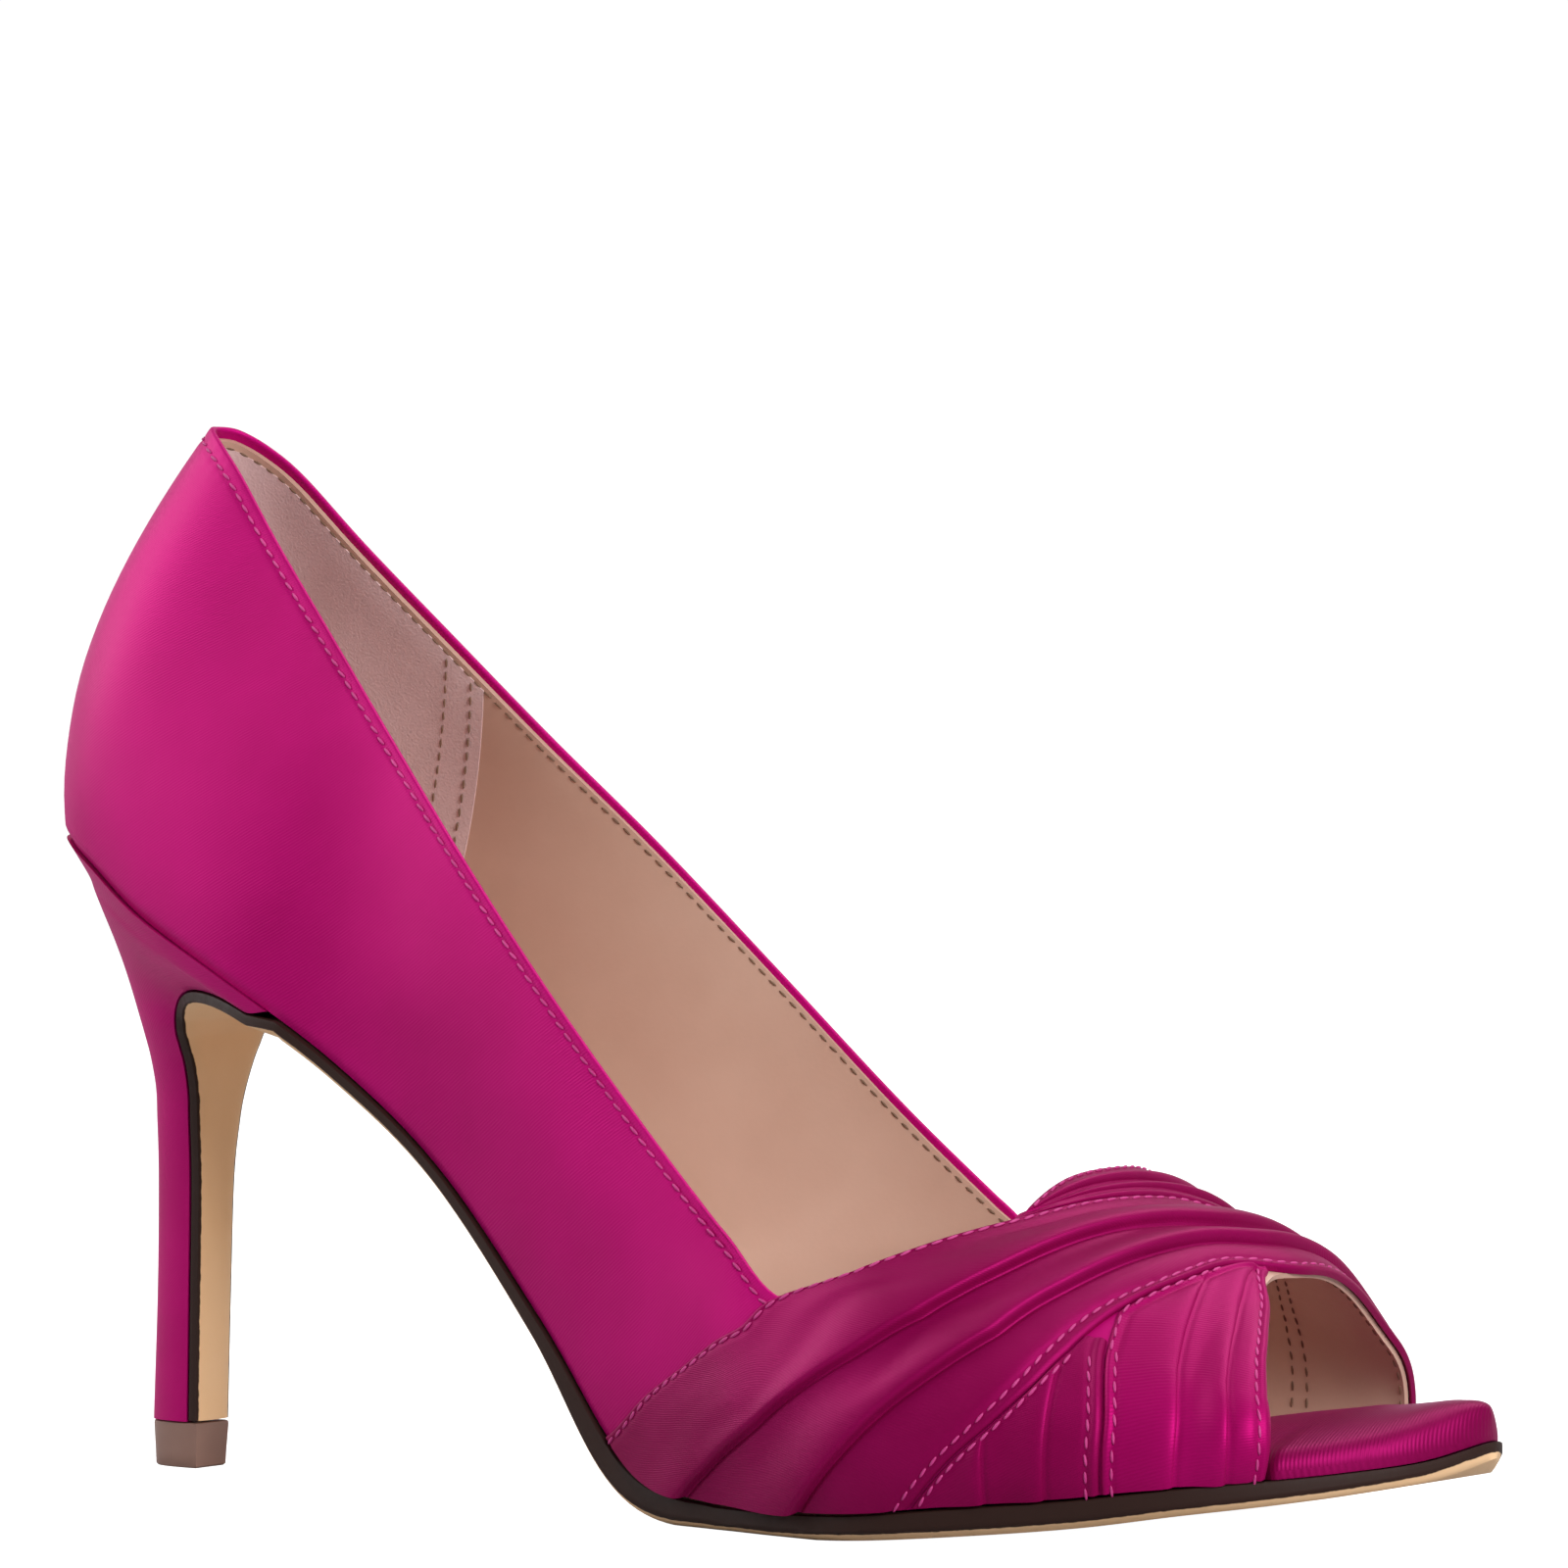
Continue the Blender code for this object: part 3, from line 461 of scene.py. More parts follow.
def studio_world():
    """A dim room with a white backdrop round the horizon, darker on the camera's side."""
    world = bpy.data.worlds.new("studio")
    world.use_nodes = True
    tree = world.node_tree
    way = add(tree, "ShaderNodeTexCoord").outputs["Generated"]
    facing = add(tree, "ShaderNodeVectorMath", ((0, way), (1, -away)), operation="DOT_PRODUCT")
    behind = map_range(tree, facing.outputs["Value"], -0.2, 0.8, FRONT_GLOW, BACK_GLOW)
    height = add(tree, "ShaderNodeSeparateXYZ", ((0, way),)).outputs[2]
    low = map_range(tree, height, 0.12, 0.55, 1.0, SKY_GLOW, "SMOOTHSTEP")
    backdrop = tree.nodes["Background"].inputs
    tree.links.new(maths(tree, "MULTIPLY", behind, low), backdrop["Strength"])
    backdrop["Color"].default_value = (1, 1, 1, 1)
    return world


def softbox(name, azimuth, elevation, distance, size, power):
    """A square lamp that looks at the shoe's middle from a direction in degrees."""
    lamp = bpy.data.lights.new(name, "AREA")
    lamp.shape, lamp.size, lamp.energy = "SQUARE", size, power
    way = direction(math.radians(azimuth), math.radians(elevation))
    placed = new_object(name, lamp)
    placed.location = SHOE_MIDDLE + way * distance
    placed.rotation_euler = way.to_track_quat("Z", "Y").to_euler()


floor = white_floor()
floor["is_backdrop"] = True
bpy.context.scene.world = studio_world()
bpy.context.scene.view_settings.view_transform = "Standard"
softbox("left_lamp", -70, 32, 1.0, 0.85, 7.6)
softbox("right_lamp", 64, 22, 1.0, 0.40, 8.5)
softbox("top_lamp", 155, 64, 1.1, 0.8, 6.5)


# %% [markdown]
# ## Building pieces
# Every piece of leather or satin here is a thin closed solid: a row of rings along it, each ring
# going out over its face and back under it. One helper skins the rings, closes both ends with
# strips and lays a cloth map on it, whose units are millimetres, so that a weave keeps its real
# size wherever the piece bends.

# %% Skinning rings and finishing a piece
SHARP = math.radians(42)
WELD = 0.000002


def place(points):
    """From the last, in millimetres, to the world, in metres."""
    moved = np.array(points, float)
    moved[..., 0] -= HEEL_TIP_X
    return moved * MM


def rings_mesh(name, rings, masks=None):
    """A mesh through closed rings, an array of rings, points and xyz, with both ends closed."""
    rings = np.asarray(rings, float)
    n, m = rings.shape[:2]
    index = np.arange(n * m).reshape(n, m)
    after = np.roll(index, -1, axis=1)
    faces = np.stack([index[:-1], after[:-1], after[1:], index[1:]], -1).reshape(-1, 4).tolist()
    for row in (index[0], index[-1]):
        faces += [(row[i], row[i + 1], row[m - 2 - i], row[m - 1 - i]) for i in range(m // 2 - 1)]
    mesh = bpy.data.meshes.new(name)
    mesh.from_pydata(place(rings).reshape(-1, 3).tolist(), [], faces)
    step = np.linalg.norm(np.roll(rings, -1, axis=1) - rings, axis=-1)
    round_it = np.concatenate([np.zeros((n, 1)), np.cumsum(step, axis=1)], axis=1)
    round_it -= round_it[:, m // 4:m // 4 + 1]
    jump = np.linalg.norm(rings[1:] - rings[:-1], axis=-1).mean(axis=1)
    onward = np.concatenate([[0], np.cumsum(jump)])
    corners = np.empty(len(mesh.loops), int)
    mesh.loops.foreach_get("vertex_index", corners)
    ring, point = corners // m, corners % m
    uv = np.stack([round_it[ring, point], onward[ring]], -1)
    quad = point.reshape(-1, 4)
    closing = (quad.max(1) == m - 1) & (quad.min(1) == 0)
    seam = np.flatnonzero(closing[:, None] & (quad == 0))
    uv[seam, 0] = round_it[ring[seam], m]
    mesh.uv_layers.new(name="cloth").data.foreach_set("uv", uv.ravel())
    for label, values in (masks or {}).items():
        layer = mesh.attributes.new(label, "FLOAT", "POINT")
        layer.data.foreach_set("value", np.broadcast_to(values, (n, m)).astype(np.float32).ravel())
    return mesh


def finish_piece(name, mesh, finish, stands_for=()):
    """Put a mesh in the scene as a smooth piece that rides on the shoe."""
    bm = bmesh.new()
    bm.from_mesh(mesh)
    bmesh.ops.remove_doubles(bm, verts=bm.verts, dist=WELD)
    bmesh.ops.recalc_face_normals(bm, faces=bm.faces)
    bm.to_mesh(mesh)
    bm.free()
    mesh.shade_smooth()
    mesh.set_sharp_from_angle(angle=SHARP)
    mesh.materials.append(finish)
    piece = new_object(name, mesh)
    if stands_for:
        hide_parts(*stands_for)
    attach(piece, "root")
    print(f"{name}: {len(mesh.polygons)} faces")


def finish_rings(name, rings, finish, stands_for=(), masks=None):
    finish_piece(name, rings_mesh(name, rings, masks), finish, stands_for)


# %% [markdown]
# ## Satin, leather and thread
# Satin is a weave with long floats: a smooth face, faint diagonal lines 0.4 mm apart, and a gloss
# that takes the colour of the threads. The metallic value tints the gloss, a sheen adds the soft
# bright edge, and a node group gives the weave as a height and slow shade changes as a mask. The
# leathers share a grain group. Each group is built once and placed in every material that needs
# it, with its own numbers.

# %% Node groups
def new_group(name, inputs, outputs):
    """A shader group with its input and output sockets."""
    group = bpy.data.node_groups.new(name, "ShaderNodeTree")
    for label, kind, value in inputs:
        socket = group.interface.new_socket(label, in_out="INPUT", socket_type="NodeSocket" + kind)
        socket.default_value = value
    for label in outputs:
        group.interface.new_socket(label, in_out="OUTPUT", socket_type="NodeSocketFloat")
    given, put = group.nodes.new("NodeGroupInput"), group.nodes.new("NodeGroupOutput")
    return group, given.outputs, put.inputs


def weave_group():
    """Diagonal twill lines on the cloth map, and slow shade changes."""
    group, given, put = new_group(
        "satin_weave",
        (("Map", "Vector", (0, 0, 0)), ("Place", "Vector", (0, 0, 0)),
         ("Line Pitch", "Float", 0.42), ("Slant", "Float", 0.8)), ("Height", "Shade"))
    parts = add(group, "ShaderNodeSeparateXYZ", ((0, given["Map"]),)).outputs
    slanted = maths(group, "MULTIPLY_ADD", parts[0], given["Slant"], parts[1])
    slanted = maths(group, "MULTIPLY_ADD", noise(group, given["Place"], 260.0), 0.22, slanted)
    turns = maths(group, "DIVIDE", slanted, given["Line Pitch"])
    lines = maths(group, "SINE", maths(group, "MULTIPLY", turns, 2 * math.pi))
    strength = maths(group, "MULTIPLY_ADD", noise(group, given["Place"], 900.0), 1.2, 0.1)
    height = maths(group, "MULTIPLY_ADD", maths(group, "MULTIPLY", lines, strength), 0.5, 0.5)
    group.links.new(height, put["Height"])
    group.links.new(noise(group, given["Place"], 38.0, 3.0), put["Shade"])
    return group


def grain_group():
    """Leather grain from cells, and a slow mottle, on object coordinates."""
    group, given, put = new_group(
        "leather_grain", (("Place", "Vector", (0, 0, 0)), ("Grain Scale", "Float", 1400.0)),
        ("Height", "Mottle", "Fine"))
    cells = add(group, "ShaderNodeTexVoronoi",
                (("Vector", given["Place"]), ("Scale", given["Grain Scale"])))
    fine = noise(group, given["Place"], given["Grain Scale"], 4.0)
    height = maths(group, "MULTIPLY_ADD", fine, 0.5, cells.outputs["Distance"])
    group.links.new(height, put["Height"])
    group.links.new(noise(group, given["Place"], 45.0, 5.0), put["Mottle"])
    group.links.new(fine, put["Fine"])
    return group


WEAVE, GRAIN = weave_group(), grain_group()
print("node groups:", WEAVE.name, "and", GRAIN.name)


# %% The materials
def spread(tree, value, low, high):
    """A value around 0.5 opened out between two numbers."""
    return map_range(tree, value, 0.3, 0.7, low, high)


def bumped(tree, shader, strength, distance, height):
    lift = add(tree, "ShaderNodeBump",
               (("Strength", strength), ("Distance", distance), ("Height", height)))
    tree.links.new(lift.outputs[0], shader.inputs["Normal"])


def satin_material(name, deep, bright, pitch=0.42, slant=0.8, bump=0.30):
    """Satin in two shades, its twill lines a pitch apart in millimetres and at a slant."""
    finish, tree, shader = new_finish(name, {
        "Metallic": 0.28, "Specular IOR Level": 0.4, "Specular Tint": (1.0, 0.08, 0.60, 1),
        "Sheen Weight": 0.05, "Sheen Roughness": 0.35, "Sheen Tint": (1.0, 0.12, 0.50, 1)})
    weave = add(tree, "ShaderNodeGroup", (
        ("Map", add(tree, "ShaderNodeUVMap", uv_map="cloth").outputs[0]),
        ("Place", add(tree, "ShaderNodeTexCoord").outputs["Object"]),
        ("Line Pitch", pitch), ("Slant", slant)), node_tree=WEAVE).outputs
    shade = maths(tree, "MULTIPLY", spread(tree, weave["Shade"], 0.0, 1.0), 0.6)
    tinted = maths(tree, "MULTIPLY_ADD", weave["Height"], 0.25, shade)
    tree.links.new(mix_colours(tree, tinted, deep, bright), shader.inputs["Base Color"])
    tree.links.new(spread(tree, weave["Shade"], 0.42, 0.50), shader.inputs["Roughness"])
    bumped(tree, shader, bump, 0.00006, weave["Height"])
    return finish


def leather_material(name, dark, light, roughness, scale=1400.0, bump=0.2, depth=0.00005):
    """Leather in two shades, its grain's scale in cells per metre and its depth in metres."""
    finish, tree, shader = new_finish(name, {})
    grain = add(tree, "ShaderNodeGroup", (
        ("Place", add(tree, "ShaderNodeTexCoord").outputs["Object"]),
        ("Grain Scale", scale)), node_tree=GRAIN).outputs
    mottle = spread(tree, grain["Mottle"], 0.0, 1.0)
    tree.links.new(mix_colours(tree, mottle, dark, light), shader.inputs["Base Color"])
    tree.links.new(spread(tree, grain["Fine"], *roughness), shader.inputs["Roughness"])
    bumped(tree, shader, bump, depth, grain["Height"])
    return finish


SATIN = satin_material("magenta_satin", (0.40, 0.002, 0.118), (0.57, 0.004, 0.190))
# The same magenta satin made darker for the pleated bands: painted shade on faces that turn away
# from the lamps.
SHADED_PLEATED_SATIN = satin_material(
    "pleated_satin_painted_shade", (0.20, 0.001, 0.048), (0.32, 0.003, 0.092), slant=-0.5)
# The same magenta satin, made a little darker for the end panel: painted shade.
SHADED_PANEL_SATIN = satin_material(
    "panel_satin_painted_shade", (0.27, 0.001, 0.068), (0.42, 0.003, 0.130), slant=-0.2)
# The same magenta satin, darker still, for the ribbed toe cover: painted shade where it lies in
# shadow inside the open toe.
SHADED_RIBBED_SATIN = satin_material(
    "ribbed_satin_painted_shade", (0.18, 0.001, 0.045), (0.27, 0.003, 0.080), 0.55, 0.15, 0.55)
LINING = leather_material(
    "lining_leather", (0.57, 0.350, 0.265), (0.65, 0.425, 0.330), (0.40, 0.52))
SUEDE = leather_material(
    "counter_suede", (0.66, 0.460, 0.455), (0.80, 0.600, 0.600), (0.85, 0.95), 2600.0, 0.5, 0.0001)
TIP_RUBBER = leather_material(
    "heel_tip_rubber", (0.20, 0.100, 0.076), (0.33, 0.190, 0.150), (0.3, 0.45), 700.0, 0.1)
THREAD = leather_material(
    "magenta_thread", (0.42, 0.020, 0.170), (0.62, 0.050, 0.270), (0.45, 0.6), 4000.0, 0.3)
BROWN_THREAD = leather_material(
    "brown_thread", (0.16, 0.085, 0.050), (0.24, 0.135, 0.085), (0.6, 0.7), 4000.0, 0.3)
print("materials:", ", ".join(m.name for m in bpy.data.materials))

# %% [markdown]
# ## Thread
# A row of stitches is the same short thread again and again along a seam, so Geometry Nodes makes
# it. The seam is a chain of points that remembers the cloth's outward direction. The tree walks
# along it at the stitch pitch and sets down one stretched grain of thread at each step, turned
# with the seam and a little askew. The result is baked into a plain mesh.


# %% The stitch tree
JITTER = 0.07
STITCH_PITCH = 2.1
STITCH_FACES = 40


def stitch_tree():
    tree = bpy.data.node_groups.new("stitch_row", "GeometryNodeTree")
    names = {}
    for label, kind in (("Geometry", "Geometry"), ("Pitch", "Float"), ("Stitch Length", "Float"),
                        ("Thread", "Float"), ("Askew", "Float"), ("Seed", "Int"),
                        ("Material", "Material")):
        socket = tree.interface.new_socket(label, in_out="INPUT", socket_type="NodeSocket" + kind)
        names[label] = socket.identifier
    tree.interface.new_socket("Geometry", in_out="OUTPUT", socket_type="NodeSocketGeometry")
    given, put = tree.nodes.new("NodeGroupInput").outputs, tree.nodes.new("NodeGroupOutput")
    seam = add(tree, "GeometryNodeMeshToCurve", ((0, given["Geometry"]),))
    walk = add(tree, "GeometryNodeResampleCurve",
               (("Curve", seam.outputs[0]), ("Length", given["Pitch"])), mode="LENGTH")
    grain = add(tree, "GeometryNodeMeshUVSphere", (("Segments", 8), ("Rings", 5), ("Radius", 0.5)))
    smooth = add(tree, "GeometryNodeSetShadeSmooth", (("Geometry", grain.outputs[0]),))
    tangent = add(tree, "GeometryNodeInputTangent")
    outward = add(tree, "GeometryNodeInputNamedAttribute", (("Name", "outward"),),
                  data_type="FLOAT_VECTOR")
    forward = add(tree, "FunctionNodeAlignRotationToVector",
                  (("Vector", tangent.outputs[0]),), axis="X")
    upright = add(tree, "FunctionNodeAlignRotationToVector",
                  (("Rotation", forward.outputs[0]), ("Vector", outward.outputs[0])),
                  axis="Z", pivot_axis="X")
    jitter = add(tree, "FunctionNodeRandomValue",
                 ((2, -JITTER), (3, JITTER), ("Seed", given["Seed"])), data_type="FLOAT")
    askew = add(tree, "ShaderNodeMath",
                ((0, given["Askew"]), (1, jitter.outputs[1])), operation="ADD")
    twist = add(tree, "ShaderNodeCombineXYZ", ((2, askew.outputs[0]),))
    twisted = add(tree, "FunctionNodeRotateRotation",
                  (("Rotation", upright.outputs[0]), ("Rotate By", twist.outputs[0])),
                  rotation_space="LOCAL")
    size = add(tree, "ShaderNodeCombineXYZ",
               ((0, given["Stitch Length"]), (1, given["Thread"]), (2, given["Thread"])))
    rows = add(tree, "GeometryNodeInstanceOnPoints",
               (("Points", walk.outputs[0]), ("Instance", smooth.outputs[0]),
                ("Rotation", twisted.outputs[0]), ("Scale", size.outputs[0])))
    real = add(tree, "GeometryNodeRealizeInstances", ((0, rows.outputs[0]),))
    painted = add(tree, "GeometryNodeSetMaterial",
                  (("Geometry", real.outputs[0]), ("Material", given["Material"])))
    tree.links.new(painted.outputs[0], put.inputs[0])
    return tree, names


STITCHES, STITCH_INPUTS = stitch_tree()


def applied(holder, name):
    """An object's mesh with its modifiers applied, in place of the object."""
    ready = holder.evaluated_get(bpy.context.evaluated_depsgraph_get())
    mesh = bpy.data.meshes.new_from_object(ready)
    bpy.data.objects.remove(holder)
    mesh.name = name
    return mesh


def sew(name, seams, thread, length=1.75, width=0.42, askew=0.12, seed=1):
    """Stitches along seams. Each seam is two arrays: points on the last and outward directions."""
    points, edges, outs = [], [], []
    for seam, way in seams:
        start = sum(len(p) for p in points)
        points.append(place(seam))
        outs.append(way)
        edges += [(start + i, start + i + 1) for i in range(len(seam) - 1)]
    chain = bpy.data.meshes.new(name)
    chain.from_pydata(np.vstack(points).tolist(), edges, [])
    layer = chain.attributes.new("outward", "FLOAT_VECTOR", "POINT")
    layer.data.foreach_set("vector", np.vstack(outs).astype(np.float32).ravel())
    holder = new_object(name + "_seam", chain)
    sewn = holder.modifiers.new("stitches", "NODES")
    sewn.node_group = STITCHES
    for label, value in (("Pitch", STITCH_PITCH * MM), ("Stitch Length", length * MM),
                         ("Thread", width * MM), ("Askew", askew), ("Seed", seed),
                         ("Material", thread)):
        sewn[STITCH_INPUTS[label]] = value
    mesh = applied(holder, name)
    mesh.materials.clear()
    mesh.materials.append(thread)
    piece = new_object(name, mesh)
    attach(piece, "root")
    print(f"{name}: {len(mesh.polygons) // STITCH_FACES} stitches")


print("the stitch tree has", len(STITCHES.nodes), "nodes")

# %% [markdown]
# ## The satin quarters
# The quarters are the back of the upper: satin over a stiffener, pulled round the heel, with the
# cloth turned over the topline and stitched down 1.8 mm below it. One sheet runs from the outer
# corner of the throat round the back to the inner corner. Its section goes up the outside, over
# the folded edge and down the inside, and it is modelled by rule because the last fixes it. Soft
# troughs are added where the photograph shows the cloth pull.

# %% Quarters
EDGE_ROLL = 0.45
SATIN_DEPTH = 0.9
SEAM_DROP = 1.8
QUARTER_ROW = 11.45
TROUGH_WALL = 45.0
GROOVE_DEPTH, GROOVE_HALF = 0.16, 0.45
PUCKER_DEPTH, PUCKER_HALF = 0.03, 1.6
FOOT_IN, SEAT_FOOT_IN, FOOT_HEIGHT = 0.20, 0.45, 1.7
# Soft troughs, listed: row and height of each end, half width in mm, depth in mm
QUARTER_FOLDS = (
    (3.6, 0.10, 6.4, 0.55, 7.0, 0.22),
    (5.4, 0.05, 8.4, 0.45, 6.0, 0.20),
    (7.4, 0.20, 10.2, 0.85, 6.0, 0.18),
    (1.2, 0.25, 3.6, 0.32, 6.0, 0.15),
)


def bump_at(distance, half):
    """1 where the distance is nought, fading smoothly over a half width."""
    return np.exp(-(distance / half) ** 2)


def quarter_dip(t, up, tall):
    """How far the satin lies below the last's surface: soft troughs, the groove and the puckers
    along the stitches, and the foot, which is turned in under the last."""
    along = spline(LAST, t)[..., 0] * LENGTH
    dip = np.zeros(np.broadcast(t, up).shape)
    for t0, up0, t1, up1, half, depth in QUARTER_FOLDS:
        x0, x1 = spline(LAST, (t0, t1))[:, 0] * LENGTH
        dx, dz = x1 - x0, (up1 - up0) * TROUGH_WALL
        px, pz = along - x0, (up - up0) * tall
        share = np.clip((px * dx + pz * dz) / (dx * dx + dz * dz), 0, 1)
        dip += depth * bump_at(np.hypot(px - share * dx, pz - share * dz), half)
    below = (1 - up) * tall - SEAM_DROP
    dip += GROOVE_DEPTH * bump_at(below, GROOVE_HALF)
    dip += PUCKER_DEPTH * bump_at(below, PUCKER_HALF) * np.sin(along * 2 * math.pi / STITCH_PITCH)
    foot_in = FOOT_IN + SEAT_FOOT_IN * (1 - swell(t, 4.0, 6.0))
    return dip + foot_in * (1 - swell(up * tall, 0.0, FOOT_HEIGHT))


def wall_height(t, medial):
    wall = last_point(t, turn_at(1.0, medial)) - last_point(t, turn_at(0.0, medial))
    return np.linalg.norm(wall, axis=-1)


def quarter_rings():
    """Rings from the throat's outer corner round the back to its inner corner."""
    rows = np.concatenate([np.linspace(0, 1, 15), np.linspace(1, QUARTER_ROW, 106)[1:]])
    outer = np.concatenate([(0, 0.006, 0.012, 0.02, 0.03, 0.042), np.linspace(0.06, 0.86, 20),
                            np.linspace(0.86, 1, 22)[1:]])
    inner = np.linspace(1, 0, 14)
    angle = np.radians([20, 45, 70, 90, 110, 135, 160])[None, :, None]
    rings = []
    for medial, order in ((False, rows[::-1]), (True, rows[1:])):
        t = order[:, None]
        tall = wall_height(t, medial)
        up = outer[None, :] * (1 - EDGE_ROLL / tall)
        outside = off_last(t, turn_at(up, medial), -quarter_dip(t, up, tall))
        edge = turn_at(np.ones_like(t), medial)
        top, way = last_point(t, edge), last_normal(t, edge)
        climb = unit(top - last_point(t, turn_at(np.full_like(t, 0.97), medial)))
        roll = top + climb * EDGE_ROLL * (np.sin(angle) - 1) - way * EDGE_ROLL * (1 - np.cos(angle))
        up = inner[None, :] * (1 - EDGE_ROLL / tall)
        inside = off_last(t, turn_at(up, medial), -SATIN_DEPTH)
        rings.append(np.concatenate([outside, roll, inside], axis=1))
    return np.concatenate(rings)


finish_rings("satin_quarters", quarter_rings(), SATIN, ("upper",))

# %% [markdown]
# ## The linings
# Inside, a smooth beige leather lines the whole upper and a suede piece lines the counter, so that
# the heel doesn't slip. The lining is one sheet set in from the last by the satin's thickness, and
# a Solidify modifier gives it its own. The suede piece lies on it and ends in a seam that leans
# forward towards the topline, with two rows of stitches.

# %% Lining and counter lining
LINING_TOP, LINING_DEPTH = 0.93, 1.62
BACKING_TOP, BACKING_THICKNESS, BACKING_SETBACK = 0.05, 0.8, 6.5
RIM_SETBACK, RIM_LIFT = 0.55, 0.5
EDGE_DROP = 1.3
LINING_SEAM_DROP = EDGE_DROP + 0.9
SUEDE_TOP, SUEDE_THICKNESS = LINING_DEPTH + 0.01, 0.38
COUNTER_ROW, COUNTER_LEAN = 5.03, 0.35
CORNER_ALONG = LAST[CORNER_ROW, 0] * LENGTH


def throat_edge(turn):
    """Where the upper's wall ends at the throat."""
    turn = np.asarray(turn, float)
    bands = np.minimum(smooth_rows(OUTER_BAND, turn, 1), smooth_rows(UNDER_BAND, 4 - turn, 1))
    over = np.maximum(bands, CORNER_ALONG) + RIM_SETBACK
    return np.where((turn <= 1) | (turn >= 3), CORNER_ALONG, over)


def rim_edge(turn):
    return smooth_rows(RIM, turn, 1)


def solid_sheet(name, grids, thickness, finish):
    """Grids of points as sheets, joined where they meet and given a thickness inwards."""
    bm = bmesh.new()
    for points in grids:
        grid = [[bm.verts.new(p) for p in row] for row in place(points).tolist()]
        for low, high in zip(grid, grid[1:]):
            for i in range(len(low) - 1):
                bm.faces.new((low[i], low[i + 1], high[i + 1], high[i]))
    bmesh.ops.remove_doubles(bm, verts=bm.verts, dist=10 * WELD)
    bmesh.ops.recalc_face_normals(bm, faces=bm.faces)
    if sum(f.normal.y * f.calc_center_median().y for f in bm.faces) < 0:
        bmesh.ops.reverse_faces(bm, faces=bm.faces)
    mesh = bpy.data.meshes.new(name)
    bm.to_mesh(mesh)
    bm.free()
    holder = new_object(name + "_sheet", mesh)
    wall = holder.modifiers.new("wall", "SOLIDIFY")
    wall.thickness, wall.offset, wall.use_even_offset = thickness * MM, -1.0, True
    finish_piece(name, applied(holder, name), finish)


def wall_grid():
    """The lining on the side walls, from the throat's outer corner round to its inner corner."""
    share = np.linspace(0, 1, 19)[None, :]
    rows = np.concatenate([np.linspace(0, 1, 11), np.linspace(1, float(CORNER_ROW), 61)[1:]])
    columns = []
    for medial, order in ((False, rows[::-1]), (True, rows[1:])):
        t = order[:, None]
        drop = EDGE_DROP * (1 - swell(t, 10.0, 11.0))
        up = share * (1 - drop / wall_height(t, medial))
        columns.append(off_last(t, turn_at(up, medial), -LINING_TOP))
    return np.concatenate(columns)


def vamp_grid(depth, setback=0.0, lift=0.0):
    """A sheet under the bands from the throat to a setback from the rim, lifted along the rim."""
    side = np.linspace(0, 1, 19)
    turn = np.concatenate([side, np.linspace(1, 3, 61)[1:-1], (4 - side)[::-1]])[None, :]
    throat, rim = throat_edge(turn), rim_edge(turn)
    along = throat + (rim - RIM_SETBACK - setback - throat) * np.linspace(0, 1, 34)[:, None]
    return on_last(turn, along, -depth + lift * swell(along - rim, -6.0, -1.0))


def counter_row(up):
    """The row of the last where the counter lining ends, further forward higher up."""
    return COUNTER_ROW + COUNTER_LEAN * up


def counter_rings():
    """The suede piece on the lining, its edge thinned."""
    share = np.linspace(0, 1, 25)
    rings = []
    for reach in np.linspace(-1, 1, 101):
        medial = reach >= 0
        t = abs(reach) * counter_row(share)
        up = share * (1 - LINING_SEAM_DROP / wall_height(t, medial)) + 0.02 * (1 - share)
        turn = turn_at(up, medial)
        from_edge = np.minimum(1 - abs(reach), 1 - share)
        thin = SUEDE_THICKNESS * np.minimum(1, from_edge * 12 + 0.35)
        rings.append(np.concatenate([off_last(t, turn, -SUEDE_TOP),
                                     off_last(t, turn, -SUEDE_TOP - thin)[::-1]]))
    return np.array(rings)


solid_sheet("lining", [wall_grid(), vamp_grid(LINING_TOP, lift=RIM_LIFT)],
            LINING_DEPTH - LINING_TOP, LINING)
solid_sheet("vamp_backing", [vamp_grid(BACKING_TOP, BACKING_SETBACK)],
            BACKING_THICKNESS, SATIN)
finish_rings("counter_lining", counter_rings(), SUEDE)

# %% [markdown]
# ## Pleated bands
# Two wide satin bands cross over the toes. On the real shoe each is folded into pleats, tacked at
# the back and let out at the sole, so every pleat rises to a soft roll at its front edge and drops
# into a dark crease. The section across a band is worked out in millimetres from its edges, so the
# folds keep their size where the band is wide, and they crowd where it is narrow.

# %% Sections of the bands
BAND_BASE = 0.04
FOLD_EDGE = 0.7
LEAST_PLEAT = 0.8
TUCK = 0.42
GAP = 0.25


def pleat(share, wide):
    """A pleat's rise over its share of the width: hollow, then a ridge, then a drop at its fold."""
    fold = np.minimum(0.18, 1.1 / wide)
    rise = 0.06 + 0.94 * swell(share / (1 - fold), 0.2, 1.0) ** 1.3
    fall = np.sqrt(np.clip(1 - (np.clip(share - 1 + fold, 0, 1) / fold) ** 2, 0, 1))
    return np.where(share < 1 - fold, rise, fall)


def seam_setback(drop, turn):
    """How far a seam lies inside its edge, the same all along or changing with the turn."""
    return drop(turn) if callable(drop) else drop


